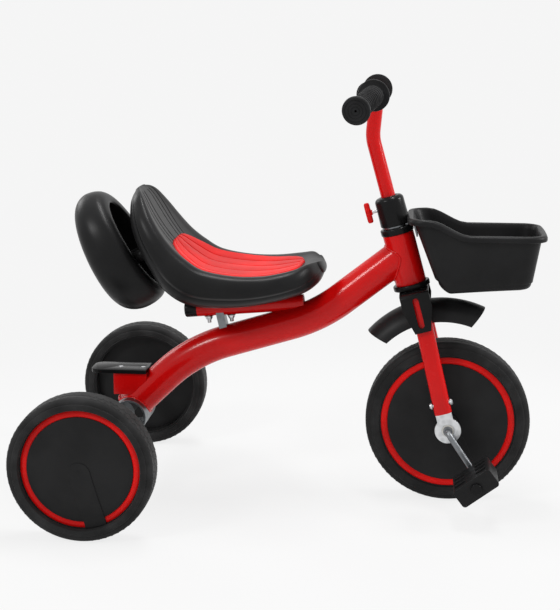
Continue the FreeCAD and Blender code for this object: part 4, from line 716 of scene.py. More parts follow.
def basket_form(settings):
    """The basket: over its floor and up its walls outside, round the rim, and down inside."""
    form = Form()
    place = basket_place()
    wall, lip = settings.basket_wall / MM, settings.basket_lip / MM
    floor, rim = plan(*FLOOR_PLAN), plan(*RIM_PLAN)
    wall_steps, first_step, corner_steps = 31, 4, 8

    def on_basket(flat, height):
        return place @ Vector((flat.x * MM, flat.y * MM, height * MM))

    def ring(share, grow, lift=0.0):
        points = []
        for low, high in zip(floor, rim):
            flat = low.lerp(high, share)
            outward = Vector(((flat.x - OUT_FROM) / OUT_STRETCH, flat.y)).normalized()
            bottom, top = floor_level(low.x), rim_height(high.x)
            points.append(on_basket(flat + outward * grow, bottom + (top - bottom) * share + lift))
        return points

    def floor_ring(shrink, lift):
        centre = Vector((FLOOR_MIDDLE, 0))
        flats = [centre + (low - centre) * shrink for low in floor]
        return [on_basket(flat, floor_level(flat.x) + lift) for flat in flats]

    def corner_ring(step, inward):
        turn = math.pi / 2 * step / corner_steps
        drawn, raised = FLOOR_CORNER * (1 - math.sin(turn)), FLOOR_CORNER * (1 - math.cos(turn))
        return ring(0.0, -inward - drawn, inward + raised)

    rolled = [(0.3, -8.6), (1.4, -9.2)] + [(lip - inward, height) for inward, height in RIM_OUTSIDE]
    rolled += [(1.0, 0.0), (-0.8, -0.4), (-1.9, -1.5), (-wall, -3.4)]
    wall_range = range(first_step, wall_steps - 1)
    rings = [floor_ring(shrink, 0.0) for shrink in FLOOR_RINGS]
    rings += [corner_ring(step, 0.0) for step in range(corner_steps + 1)]
    rings += [ring(step / wall_steps, 0.0) for step in wall_range]
    rings += [ring(1.0, grow, lift) for grow, lift in rolled]
    rings += [ring(step / wall_steps, -wall) for step in reversed(wall_range)]
    rings += [corner_ring(step, wall) for step in reversed(range(corner_steps + 1))]
    rings += [floor_ring(shrink, wall) for shrink in INNER_FLOOR_RINGS]
    form.skin(rings)
    return form


# ---------------------------------------------------------------- wheels

# A tyre's profile in mm, out from a radius and in from the sidewall: its lip, and the step round it.
TYRE_LIP = [(0, 3.5), (1.2, 0.8), (3, 0)]
TYRE_STEP = [(-2.4, 0), (-1.2, 0.4), (-0.6, 1.6), (0.6, 1.6)]
STEP_INSIDE = 0.0008                    # how far the step lies inside the shoulder
CROWN_SHARE = 0.5                       # the tread's crown, as a share of its cuts' depth
BLOCK_LENGTH = 0.8                      # a share of the cuts' spacing
BLOCK_WIDTH, BLOCK_ROW = 0.62, 0.7      # shares of the tread's half width
BLOCK_HEIGHT = 0.0016
BLOCK_SUNK, SIDE_SUNK = 0.0010, 0.0014  # the blocks' middles lie so far inside the tyre's radius
LINE_OUT, LINE_BEAD, LINE_SUNK = 0.0045, 0.0007, 0.0005     # the fine line round each sidewall


def tyre_sizes(node):
    """A tyre's radius and half width, from its box."""
    low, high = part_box(node)
    return (high.z - low.z) / 2, (high.y - low.y) / 2


def tyre_form(place, radius, half, bore, settings):
    """A tyre with a crowned tread, rounded shoulders and a step round each sidewall."""
    form = Form()
    tread, flat = radius - settings.tread_depth, half - settings.shoulder
    step = radius - settings.shoulder - STEP_INSIDE
    side = [(bore + out * MM, half - inward * MM) for out, inward in TYRE_LIP]
    side += [(step + out * MM, half - inward * MM) for out, inward in TYRE_STEP]
    start, level = side[-1]
    turns = [math.pi / 2 * index / 8 for index in range(1, 9)]
    side += [(start + (tread - start) * math.sin(turn), level - (level - flat) * (1 - math.cos(turn)))
             for turn in turns]
    crown = settings.tread_depth * CROWN_SHARE
    side += [(tread + crown * (1 - (y / flat) ** 2), y) for y in (flat * 0.66, flat * 0.33, 0.0)]
    form.lathe(place, side + [(out, -y) for out, y in reversed(side[:-1])] + [(bore, 0.0)], count=180)
    return form


class Growth:
    """A geometry tree built node by node, with named inputs."""

    def __init__(self, name, inputs, seeded=False):
        self.tree = bpy.data.node_groups.new(name, "GeometryNodeTree")
        self.keys = {}
        if seeded:
            self.tree.interface.new_socket("Seed", in_out="INPUT", socket_type="NodeSocketGeometry")
        for label, value in inputs.items():
            kind = "NodeSocketInt" if isinstance(value, int) else "NodeSocketFloat"
            socket = self.tree.interface.new_socket(label, in_out="INPUT", socket_type=kind)
            socket.default_value = value
            self.keys[label] = socket.identifier
        socket = self.tree.interface.new_socket(
            "Finish", in_out="INPUT", socket_type="NodeSocketMaterial")
        self.keys["Finish"] = socket.identifier
        self.tree.interface.new_socket("Geometry", in_out="OUTPUT", socket_type="NodeSocketGeometry")
        self.entry = self.tree.nodes.new("NodeGroupInput").outputs

    def add(self, kind, inputs, **settings):
        """A node of a kind: its settings first, then the values or links of its sockets."""
        node = self.tree.nodes.new(kind)
        for key, value in settings.items():
            setattr(node, key, value)
        for key, value in inputs.items():
            if isinstance(value, bpy.types.NodeSocket):
                self.tree.links.new(value, node.inputs[key])
            else:
                node.inputs[key].default_value = value
        return node.outputs

    def vector(self, x=0.0, y=0.0, z=0.0):
        """A vector from its parts."""
        return self.add("ShaderNodeCombineXYZ", {0: x, 1: y, 2: z})[0]

    def maths(self, operation, first, second):
        """One sum on two numbers."""
        return self.add("ShaderNodeMath", {0: first, 1: second}, operation=operation)[0]

    def end(self, geometry):
        """The tree with this geometry as its result, made real and given its finish."""
        real = self.add("GeometryNodeRealizeInstances", {0: geometry})[0]
        painted = self.add("GeometryNodeSetMaterial", {
            "Geometry": real, "Material": self.entry["Finish"]})[0]
        self.tree.links.new(painted, self.tree.nodes.new("NodeGroupOutput").inputs[0])
        return self

    def grow(self, name, finish, values, seed=None, place=None):
        """The plain mesh that the tree makes with these values, moved to a place."""
        piece = bpy.data.objects.new(name, seed or bpy.data.meshes.new(name))
        bpy.context.scene.collection.objects.link(piece)
        maker = piece.modifiers.new("maker", "NODES")
        maker.node_group = self.tree
        for label, value in values.items():
            maker[self.keys[label]] = value
        maker[self.keys["Finish"]] = FINISHES[finish]
        flatten(piece, name)
        if place:
            piece.data.transform(place)
        return piece


def tread_growth():
    """A block repeated round the tread, each turned to face outwards."""
    growth = Growth("tread_blocks", {
        "Radius": 0.105, "Count": 60, "Block length": 0.008, "Block width": 0.009,
        "Block height": 0.002, "Row": 0.006, "Stagger": 0.0})
    entry = growth.entry
    circle = growth.add("GeometryNodeMeshCircle", {
        "Vertices": entry["Count"], "Radius": entry["Radius"]})[0]
    outward = growth.add("GeometryNodeInputPosition", {})[0]
    facing = growth.add("FunctionNodeAlignEulerToVector", {"Vector": outward}, axis="Z")[0]
    size = growth.vector(entry["Block width"], entry["Block length"], entry["Block height"])
    block = growth.add("GeometryNodeMeshCube", {"Size": size})[0]
    row = growth.add("GeometryNodeInstanceOnPoints", {
        "Points": circle, "Instance": block, "Rotation": facing})[0]
    return growth.end(growth.add("GeometryNodeTransform", {
        "Geometry": row, "Translation": growth.vector(z=entry["Row"]),
        "Rotation": growth.vector(z=entry["Stagger"])})[0])


def ring_growth():
    """Round beads repeated along an axis."""
    growth = Growth("repeated_rings", {"Radius": 0.015, "Bead": 0.001, "Count": 10, "Spacing": 0.008})
    entry = growth.entry
    circle = growth.add("GeometryNodeCurvePrimitiveCircle", {
        "Resolution": 72, "Radius": entry["Radius"]})[0]
    bead = growth.add("GeometryNodeCurvePrimitiveCircle", {
        "Resolution": 12, "Radius": entry["Bead"]})[0]
    ring = growth.add("GeometryNodeCurveToMesh", {"Curve": circle, "Profile Curve": bead})[0]
    line = growth.add("GeometryNodeMeshLine", {
        "Count": entry["Count"], "Offset": growth.vector(z=entry["Spacing"])})[0]
    return growth.end(growth.add("GeometryNodeInstanceOnPoints", {"Points": line, "Instance": ring})[0])


def tube_growth():
    """A round tube along the seed's edges, its corners bent to one radius."""
    growth = Growth("bent_tube", {
        "Radius": 0.025, "Bend radius": 0.24, "Bend steps": 40, "Sides": 64}, seeded=True)
    entry = growth.entry
    path = growth.add("GeometryNodeMeshToCurve", {0: entry["Seed"]})[0]
    bent = growth.add("GeometryNodeFilletCurve", {
        "Curve": path, "Count": entry["Bend steps"], "Radius": entry["Bend radius"]}, mode="POLY")[0]
    section = growth.add("GeometryNodeCurvePrimitiveCircle", {
        "Resolution": entry["Sides"], "Radius": entry["Radius"]})[0]
    return growth.end(growth.add("GeometryNodeCurveToMesh", {"Curve": bent, "Profile Curve": section})[0])


def fastener_growth():
    """A head, a washer and a shank on each seed point, turned to its facing."""
    growth = Growth("fasteners", {
        "Sides": 6, "Head radius": 0.005, "Head height": 0.004, "Washer radius": 0.006,
        "Shank radius": 0.003, "Shank length": 0.02, "Tip": 0.0}, seeded=True)
    entry = growth.entry
    neck_share, crown_share, washer_height = 0.72, 0.78, 0.0009

    def drum(sides, radius, low, high):
        depth = growth.maths("SUBTRACT", high, low)
        middle = growth.maths("MULTIPLY", growth.maths("ADD", high, low), 0.5)
        made = growth.add("GeometryNodeMeshCylinder", {
            "Vertices": sides, "Radius": radius, "Depth": depth})[0]
        return growth.add("GeometryNodeTransform", {
            "Geometry": made, "Translation": growth.vector(z=middle)})[0]

    neck = growth.maths("MULTIPLY", entry["Head height"], neck_share)
    crown = growth.maths("MULTIPLY", entry["Head radius"], crown_share)
    foot = growth.maths("MULTIPLY", entry["Shank length"], -1.0)
    joined = growth.tree.nodes.new("GeometryNodeJoinGeometry")
    for part in (drum(entry["Sides"], entry["Head radius"], 0.0, neck),
                 drum(24, crown, neck, entry["Head height"]),
                 drum(28, entry["Washer radius"], 0.0, washer_height),
                 drum(20, entry["Shank radius"], foot, entry["Tip"])):
        growth.tree.links.new(part, joined.inputs[0])
    facing = growth.add("GeometryNodeInputNamedAttribute", {"Name": "facing"}, data_type="FLOAT_VECTOR")[0]
    turned = growth.add("FunctionNodeAlignEulerToVector", {"Vector": facing}, axis="Z")[0]
    points = growth.add("GeometryNodeMeshToPoints", {"Mesh": entry["Seed"]})[0]
    return growth.end(growth.add("GeometryNodeInstanceOnPoints", {
        "Points": points, "Instance": joined.outputs[0], "Rotation": turned})[0])


def path_seed(name, points, closed=False):
    """Points joined by edges, for a tree to work on."""
    mesh = bpy.data.meshes.new(name)
    count = len(points)
    edges = [(index, index + 1) for index in range(count - 1)]
    mesh.from_pydata([tuple(point) for point in points], edges + ([(count - 1, 0)] if closed else []), [])
    return mesh


def point_seed(name, points, facings):
    """Points that each carry a facing, for a tree to work on."""
    mesh = path_seed(name, points)
    facing = mesh.attributes.new("facing", "FLOAT_VECTOR", "POINT")
    for index, direction in enumerate(facings):
        facing.data[index].vector = direction
    return mesh


def merged(name, pieces):
    """Several objects' meshes as one object."""
    gathered = bmesh.new()
    for piece in pieces:
        gathered.from_mesh(piece.data)
        bpy.data.objects.remove(piece)
    mesh = bpy.data.meshes.new(name)
    gathered.to_mesh(mesh)
    gathered.free()
    made = bpy.data.objects.new(name, mesh)
    bpy.context.scene.collection.objects.link(made)
    return made


# ---------------------------------------------------------------- operators

SLOT_FINISH = {
    "red_paint": "paint", "red_plastic": "trim", "black_plastic": "satin", "tyre_rubber": "tyre",
    # chrome parts take the dark plating, whose dark colour is painted shade
    "grip_rubber": "grip", "zinc_steel": "zinc", "chrome_steel": "zinc_dark_and_shade", "pale_nylon": "nylon",
}
# Nodes whose finish is not their slot's.
NODE_FINISH = {
    "front_cover_left": "disc", "front_cover_right": "disc", "rear_cover_left": "disc",
    "rear_cover_right": "disc", "stem_cap": "gloss", "crown_cover": "gloss", "footboard": "gloss",
    "upper_headset_bush": "gloss", "lower_headset_bush": "gloss", "seat_bar_plug": "gloss",
    # the bracket, strap, collars and stay take the dark plating, partly a darker zinc and partly painted shade
    "pedal_caps": "gloss", "axle_bracket": "zinc_dark_and_shade", "basket_strap": "zinc_dark_and_shade",
    "crank_collars": "zinc_dark_and_shade", "seat_stay": "zinc_dark_and_shade",
}


def finish_of(node):
    """The name of the finish that a node of the frame has."""
    return NODE_FINISH.get(node, SLOT_FINISH[SLOTS[node]])


class TRIKE_OT_finishes(bpy.types.Operator):
    """Makes the finishes and gives them to the frame's own pieces"""
    bl_idname = "trike.finishes"
    bl_label = "Finishes"

    def execute(self, context):
        make_finishes(context.scene.trike_colours)
        for name in SLOTS:
            node = frame["nodes"][name]
            node.data.materials.clear()
            node.data.materials.append(FINISHES[finish_of(name)])
            smooth(node, 30.0)
        return {"FINISHED"}


class TRIKE_OT_seat(bpy.types.Operator):
    """Makes the moulded seat and the pad let into it"""
    bl_idname = "trike.seat"
    bl_label = "Seat and pad"

    def execute(self, context):
        settings = context.scene.trike_mouldings
        shell = seat_form(settings.seat_half_width, settings.back_groove)
        make_piece("moulded_seat", shell, "seat", "frame", ["seat_shell"], angle=60.0)
        plain = seat_form(settings.seat_half_width, 0.0)
        tree = BVHTree.FromPolygons([tuple(point) for point in plain.points], plain.faces)
        pad = pad_form(settings, tree)
        make_piece("ribbed_pad", pad, "pad", "frame", ["seat_pad"], angle=60.0)
        return {"FINISHED"}


class TRIKE_OT_bin(bpy.types.Operator):
    """Makes the rear bin and its two posts"""
    bl_idname = "trike.bin"
    bl_label = "Rear bin"

    def execute(self, context):
        form = bin_form(context.scene.trike_mouldings)
        make_piece("storage_bin", form, "seat", "frame", ["rear_bin"], angle=60.0)
        make_piece("bin_posts", post_form(), "satin", "frame")
        return {"FINISHED"}


class TRIKE_OT_basket(bpy.types.Operator):
    """Makes the front basket with its rolled rim"""
    bl_idname = "trike.basket"
    bl_label = "Basket"

    def execute(self, context):
        form = basket_form(context.scene.trike_mouldings)
        make_piece("front_basket", form, "satin", "steering", ["basket"], angle=50.0)
        return {"FINISHED"}


class TRIKE_OT_tyres(bpy.types.Operator):
    """Makes the three tyres with their tread blocks"""
    bl_idname = "trike.tyres"
    bl_label = "Tyres"

    def execute(self, context):
        settings = context.scene.trike_wheels
        blocks, beads = tread_growth(), ring_growth()
        wheels = [("front_tyre", "front_wheel", "front_rim")]
        wheels += [(f"rear_tyre_{side}", f"rear_wheel_{side}", f"rear_rim_{side}") for side in SIDES]
        for node, body, rim in wheels:
            radius, half = tyre_sizes(node)
            bore = tyre_sizes(rim)[0]
            place = axes_at(box_middle(node), (1, 0, 0), (0, 1, 0))
            parts = [make_plain(f"{node}_body", tyre_form(place, radius, half, bore, settings))]
            count = round(2 * math.pi * radius / settings.tread_pitch)
            flat = half - settings.shoulder
            for row in (-1, 0, 1):
                parts.append(blocks.grow(f"{node}_row", "tyre", {
                    "Radius": radius - (SIDE_SUNK if row else BLOCK_SUNK), "Count": count,
                    "Block length": settings.tread_pitch * BLOCK_LENGTH,
                    "Block width": flat * BLOCK_WIDTH, "Block height": BLOCK_HEIGHT,
                    "Row": row * flat * BLOCK_ROW, "Stagger": math.pi / count * (row % 2)}, place=place))
            parts.append(beads.grow(f"{node}_beads", "tyre", {
                "Radius": bore + LINE_OUT, "Bead": LINE_BEAD, "Count": 2,
                "Spacing": 2 * (half - LINE_SUNK)},
                place=place @ Matrix.Translation((0, 0, LINE_SUNK - half))))
            tyre = merged(f"foam_{node}", parts)
            smooth(tyre, 40.0)
            settle(tyre, "tyre", body, [node])
        return {"FINISHED"}


BAR_SWEEP = math.atan2(26.7, 135.5)     # how far the grips turn back from straight across
BAR_LEAN = math.radians(36)             # and how far that turn leans down
# A grip's profile: radius, height from its inner end, in mm.
GRIP_INNER = [
    (11.2, 0), (21.4, 0), (22.6, 0.6), (23, 2), (23, 3.2), (22.5, 4.6), (21, 5.2), (17.2, 5.6),
    (15, 6.6), (14.2, 9),
]
GRIP_WAIST, WAIST_SHARE = 0.0136, 0.45  # the radius between, and where along the grip it lies
# Radius, depth from its outer end, in mm.
GRIP_OUTER = [
    (14, 14), (14.8, 9.8), (16.4, 8.4), (18.4, 7.8), (19.4, 6.8), (19.6, 5), (19.4, 2.6), (18.6, 1),
    (17.2, 0.2),
]
END_RINGS = (14.5, 10, 5.8)             # radii of the grooves in the outer end
END_GROOVE = [(0.8, 0), (0.3, 0.6), (-0.3, 0.6), (-0.8, 0)]
END_VENT = [(1.9, 0.1), (1.5, 0.8), (1.4, 2.6), (11.2, 2.7)]
RINGS_FROM, RINGS_SHORT = 0.0145, 0.034     # where the rings begin, and how much shorter they run
RING_RADIUS, RING_SUNK = 0.0136, 0.0007


def grip_place(node, side):
    """Axes at a grip's inner end, Z along it to the outer end, and its length."""
    back = math.sin(BAR_SWEEP)
    along = Vector((-back * math.cos(BAR_LEAN), side * math.cos(BAR_SWEEP), -back * math.sin(BAR_LEAN)))
    points = [vertex.co for vertex in frame["nodes"][node].data.vertices]
    reach = [point.dot(along) for point in points]
    flat = [point - along * point.dot(along) for point in points]
    low = Vector([min(point[axis] for point in flat) for axis in range(3)])
    high = Vector([max(point[axis] for point in flat) for axis in range(3)])
    middle = (low + high) / 2
    middle -= along * middle.dot(along)
    return axes_at(middle + along * min(reach), (1, 0, 0), along), max(reach) - min(reach)


def grip_form(place, long):
    """A grip: a guard disc, a body that narrows a little, and an end disc with a vent."""
    form = Form()
    outer = GRIP_OUTER + [(ring + out, depth) for ring in END_RINGS for out, depth in END_GROOVE] + END_VENT
    profile = in_metres(GRIP_INNER) + [(GRIP_WAIST, long * WAIST_SHARE)]
    profile += [(radius, long - depth) for radius, depth in in_metres(outer)]
    form.lathe(place, profile, count=72)
    return form


class TRIKE_OT_grips(bpy.types.Operator):
    """Makes the two ringed grips"""
    bl_idname = "trike.grips"
    bl_label = "Grips"

    def execute(self, context):
        settings = context.scene.trike_wheels
        beads = ring_growth()
        for name, side in SIDES.items():
            node = f"grip_{name}"
            place, long = grip_place(node, side)
            count = settings.grip_rings
            rings = beads.grow(f"{node}_rings", "grip", {
                "Radius": RING_RADIUS, "Bead": settings.ring_height + RING_SUNK, "Count": count,
                "Spacing": (long - RINGS_SHORT) / (count - 1)},
                place=place @ Matrix.Translation((0, 0, RINGS_FROM)))
            body = make_plain(f"{node}_body", grip_form(place, long))
            grip = merged(f"ringed_{node}", [body, rings])
            smooth(grip, 45.0)
            settle(grip, "grip", "handlebar", [node])
        return {"FINISHED"}


# ---------------------------------------------------------------- tubes, fasteners and edges

ACROSS = Vector((0, 1, 0))
TUBE_RADIUS, SADDLE_RADIUS, HEAD_RADIUS = 0.025, 0.027, 0.0235
# The corners of the tube's run and the middle of the saddle, from the rear axle.
TUBE_CORNERS = (Vector((0.121, 0, 0.116)), Vector((0.318, 0, 0.176)))
SADDLE = Vector((0.027, 0, 0.017))
TUBE_JOINT = 0.266                      # where the tube's line meets the steerer, up from the axle
REAR_SHORT, HEAD_SHORT = 0.062, 0.030   # how much of the line is left free at its two ends
END_NEAR = 0.0005                       # points this near to an end belong to it
DRAWN_BACK = 0.03                       # an end's points are drawn back before they are run out
WELD_IN = 0.0003                        # how far the ends go into what they meet
HEAD_SQUEEZE = 0.90                     # the tube is pressed narrower where it meets the head


def to_cylinder(point, along, axis_point, axis, radius):
    """The point moved along a direction to the near side of a cylinder, or to its nearest place."""
    apart = point - axis_point
    apart -= axis * apart.dot(axis)
    run = along - axis * along.dot(axis)
    a, b, c = run.dot(run), apart.dot(run), apart.dot(apart) - radius * radius
    inside = b * b - a * c
    reach = (-b - math.sqrt(inside)) / a if inside > 0 else -b / a
    return point + along * reach


class TRIKE_OT_tube(bpy.types.Operator):
    """Makes the bent main tube with the weld beads at its ends"""
    bl_idname = "trike.tube"
    bl_label = "Main tube"

    def execute(self, context):
        settings = context.scene.trike_frame
        sweep = tube_growth()
        joint = STEERER @ Vector((0, 0, TUBE_JOINT)) - REAR_AXLE
        first = TUBE_CORNERS[0].normalized()
        last = (joint - TUBE_CORNERS[1]).normalized()
        run = (first * REAR_SHORT, *TUBE_CORNERS, joint - last * HEAD_SHORT)
        path = [REAR_AXLE + point for point in run]
        tube = sweep.grow("main_tube_run", "paint", {
            "Radius": TUBE_RADIUS, "Bend radius": settings.tube_bend, "Bend steps": 48, "Sides": 72},
            seed=path_seed("main_tube_path", path))
        rear, head = [], []
        for vertex in tube.data.vertices:
            if (vertex.co - path[0]).dot(first) < END_NEAR:
                vertex.co = to_cylinder(
                    vertex.co + first * DRAWN_BACK, -first,
                    REAR_AXLE + SADDLE, ACROSS, SADDLE_RADIUS - WELD_IN)
                rear.append(vertex.co.copy())
            elif (vertex.co - path[-1]).dot(last) > -END_NEAR:
                vertex.co.y *= HEAD_SQUEEZE
                vertex.co = to_cylinder(
                    vertex.co - last * DRAWN_BACK, last, FRONT_AXLE, UP_STEERER, HEAD_RADIUS - WELD_IN)
                head.append(vertex.co.copy())
        parts = [tube]
        for name, points, along in (("rear", rear, first), ("head", head, last)):
            middle = sum(points, Vector()) / len(points)
            across = along.cross(ACROSS)
            points.sort(key=lambda point: math.atan2((point - middle).y, (point - middle).dot(across)))
            parts.append(sweep.grow(f"{name}_weld", "paint", {
                "Radius": settings.weld_bead, "Bend radius": 0.0, "Bend steps": 1, "Sides": 10},
                seed=path_seed(f"{name}_weld_path", points, closed=True)))
        piece = merged("bent_main_tube", parts)
        smooth(piece, 50.0)
        settle(piece, "paint", "frame", ["main_tube"])
        return {"FINISHED"}


SEAT_BAR, BAR_TILT = Vector((0.111, 0, 0.181)), math.radians(4.9)   # from the rear axle; nose up
SIZE_LABELS = (
    "Sides", "Head radius", "Head height", "Washer radius", "Shank radius", "Shank length", "Tip")


def fastener_table():
    """Each group of fasteners: node, body, points with facings, and sizes."""
    tilt_sin, tilt_cos = math.sin(BAR_TILT), math.cos(BAR_TILT)
    bar = axes_at(REAR_AXLE + SEAT_BAR, (tilt_cos, 0, tilt_sin), (-tilt_sin, 0, tilt_cos))
    bin_axes, up = bin_place(), Vector((0, 0, 1))
    below_bar, behind_bin = -(bar.to_3x3() @ up), -(bin_axes.to_3x3() @ up)
    high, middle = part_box("dropout_bolts")[1], box_middle("dropout_bolts")
    leg, leg_half = high.y - 0.005, 0.0133      # how far out the legs are, and half their depth
    ways = (1, -1)
    cross = [(Vector((middle.x, side * leg, middle.z)) + AHEAD * way * leg_half, AHEAD * way)
             for side in ways for way in ways]
    return {
        "footboard_screws": ("frame", [(REAR_AXLE + Vector((x, 0, 0.0862)), up) for x in (0.008, 0.043)],
                             (24, 0.0045, 0.0018, 0.0045, 0.0022, 0.006, 0.0)),
        "seat_bolts": ("frame", [(bar @ Vector((x, 0, -0.012)), below_bar) for x in (0.036, 0.071)],
                       (6, 0.0055, 0.0062, 0.0072, 0.003, 0.028, 0.011)),
        "dropout_bolts": ("steering", cross, (24, 0.005, 0.004, 0.005, 0.0025, 0.012, 0.0)),
        "bin_screws": ("frame", [
            (bin_axes @ Vector((BIN_SCREW_DOWN, side * BIN_SCREW_OUT, 0.0)), behind_bin) for side in ways],
            (24, 0.005, 0.0036, 0.005, 0.0025, 0.088, 0.0)),
        "basket_screws": ("steering", [
            (STEERER @ Vector((0.0319, side * 0.0065, 0.295)), AHEAD) for side in ways],
            (24, 0.004, 0.0028, 0.004, 0.002, 0.006, 0.0)),
        "fender_screw": ("steering", [(STEERER @ Vector((0, 0, 0.1875)), -UP_STEERER)],
                         (6, 0.006, 0.0038, 0.006, 0.003, 0.022, 0.0)),
    }


class TRIKE_OT_fasteners(bpy.types.Operator):
    """Makes the screws, nuts and bolts"""
    bl_idname = "trike.fasteners"
    bl_label = "Fasteners"

    def execute(self, context):
        growth = fastener_growth()
        for node, (body, points, sizes) in fastener_table().items():
            places, facings = zip(*points)
            seed = point_seed(f"{node}_points", places, facings)
            piece = growth.grow(f"fitted_{node}", "zinc", dict(zip(SIZE_LABELS, sizes)), seed=seed)
            bevelled(piece, 0.0005, segments=2, angle=40.0)
            smooth(piece, 40.0)
            settle(piece, "zinc", body, [node])
        return {"FINISHED"}


# Frame solids that keep their shape but get softer edges: the rounding in mm.
SOFTENED = {
    "footboard": 1.2, "footboard_bracket": 0.5, "axle_bracket": 0.5, "fork_leg_left": 0.6,
    "fork_leg_right": 0.6, "dropout_left": 0.6, "dropout_right": 0.6, "pedal_left": 1.0,
    "pedal_right": 1.0, "crown_cover": 0.8, "fender": 0.9, "upper_headset_bush": 2.4,
    "lower_headset_bush": 1.6, "seat_bar_plug": 0.8, "head_tube": 0.5, "front_cover_left": 0.4,
    "front_cover_right": 0.4, "rear_cover_left": 0.4, "rear_cover_right": 0.4, "basket_strap": 0.4,
    "pedal_caps": 0.8,
}


class TRIKE_OT_edges(bpy.types.Operator):
    """Rounds the edges of the brackets, covers and pedals"""
    bl_idname = "trike.edges"
    bl_label = "Softened edges"

    def execute(self, context):
        for node, rounding in SOFTENED.items():
            shape = bmesh.new()
            shape.from_mesh(frame["nodes"][node].data)
            bmesh.ops.remove_doubles(shape, verts=shape.verts, dist=2e-6)
            bmesh.ops.dissolve_limit(
                shape, angle_limit=math.radians(0.6), verts=shape.verts, edges=shape.edges)
            mesh = bpy.data.meshes.new(f"soft_{node}")
            shape.to_mesh(mesh)
            shape.free()
            piece = bpy.data.objects.new(f"soft_{node}", mesh)
            context.scene.collection.objects.link(piece)
            bevelled(piece, rounding * MM, segments=3, angle=34.0)
            smooth(piece, 38.0)
            settle(piece, finish_of(node), BODIES[node], [node])
        return {"FINISHED"}


# The knob's outline: its round middle, how far the wings go beyond it, and how flat it is.
KNOB_ROUND, WING_REACH, KNOB_FLAT = 0.0100, 0.0058, 0.86
WAIST, WAIST_CURVE = 0.62, 0.8          # its narrowest place, and how soon it widens from there
KNOB_HALF = 0.0042                      # half its thickness
# Through its thickness: share of the half, and how far the edge is drawn in.
KNOB_EDGE = [
    (-1.0, 0.0030), (-0.86, 0.0012), (-0.55, 0.0002), (0.0, 0.0), (0.55, 0.0002), (0.86, 0.0012),
    (1.0, 0.0030),
]
WING_LONG, WING_SHORT = 0.016, 0.006    # the drawing in is a share of these
KNOB_BOSS = [(0, 4), (4.4, 4), (4.4, 4.4), (3.6, 6), (0, 6)]    # radius, height, in mm


def knob_form():
    """The clamp knob: two rounded wings either side of a waist, on a boss."""
    form = Form()
    place = axes_at(box_middle("clamp_knob"), UP_STEERER, AHEAD)
    count = 64
    outline = []
    for index in range(count):
        turn = 2 * math.pi * index / count
        reach = KNOB_ROUND + WING_REACH * max(math.cos(2 * turn), 0.0) ** 3
        reach *= WAIST + (1 - WAIST) * abs(math.cos(turn)) ** WAIST_CURVE
        outline.append((reach * math.cos(turn), reach * math.sin(turn) * KNOB_FLAT))
    rings = []
    for share, shrink in KNOB_EDGE:
        long, short = 1 - shrink / WING_LONG, 1 - shrink / WING_SHORT
        rings.append([place @ Vector((x * long, y * short, share * KNOB_HALF)) for x, y in outline])
    form.skin(rings)
    form.lathe(place, in_metres(KNOB_BOSS), count=28, closed=False)
    return form


# The clamp cap, up the steerer: radius, foot, top and bore.
CAP_RADIUS, CAP_FOOT, CAP_TOP, CAP_BORE = 0.0225, 0.3112, 0.356, 0.0112
CAP_WALL = [(1, 0), (0.2, 1), (0, 2.4)]         # in from the radius, up from the foot, in mm
CAP_SHOULDER, SHOULDER_IN, SHOULDER_DOWN = 0.0070, 0.0076, 0.0075
SHOULDER_FOOT = (0.0006, 0.0125)                # in from the radius, down from the top
CAP_LIP = [(13.5, 0.6), (13, 0), (12, 0), (11.2, 0.8)]      # radius, down from the top, in mm


def cap_form():
    """The stem's clamp cap: a short collar with a round shoulder and a lip round the stem."""
    form = Form()
    profile = [(CAP_BORE, CAP_FOOT)]
    profile += [(CAP_RADIUS - inward, CAP_FOOT + up) for inward, up in in_metres(CAP_WALL)]
    inward, down = SHOULDER_FOOT
    profile.append((CAP_RADIUS - inward, CAP_TOP - down))
    for step in range(9):
        turn = math.pi / 2 * step / 8
        profile.append((CAP_RADIUS - SHOULDER_IN + CAP_SHOULDER * math.cos(turn),
                        CAP_TOP - SHOULDER_DOWN + CAP_SHOULDER * math.sin(turn)))
    profile += [(radius, CAP_TOP - down) for radius, down in in_metres(CAP_LIP)]
    form.lathe(STEERER, profile, count=80)
    return form


class TRIKE_OT_clamp(bpy.types.Operator):
    """Makes the stem's clamp cap and its knob"""
    bl_idname = "trike.clamp"
    bl_label = "Clamp cap and knob"

    def execute(self, context):
        make_piece("winged_knob", knob_form(), "pad", "knob", ["clamp_knob"], angle=50.0)
        make_piece("clamp_cap", cap_form(), "gloss", "steering", ["stem_cap"], angle=50.0)
        return {"FINISHED"}


FLOOR_REACH = 30
LAMPS_AT = Vector((0.0, 0.0, 0.28))     # the lamps point here
# Each lamp's place, size and power.
LAMPS = {
    "overhead_softbox": ((0.15, 0.10, 2.2), (1.3, 0.32), 32.0),
    "front_softbox": ((-1.6, -1.7, 1.9), (0.6, 0.5), 28.0),
    "side_softbox": ((2.0, 0.1, 1.3), (0.5, 0.8), 26.0),
    "rear_softbox": ((-1.9, 1.3, 1.4), (0.9, 0.9), 10.0),
}
ROOM_LIGHT = 0.42
SHADOW_FROM, SHADOW_TO, SHADOW_SHARE = 0.5, 1.3, 0.12   # the floor's shadow fades out over these
CAMERA_AT = (0.1873, -1.9564, 0.7242)
CAMERA_YAW, CAMERA_PITCH = -0.104, 0.181        # from +Y to +X, and down


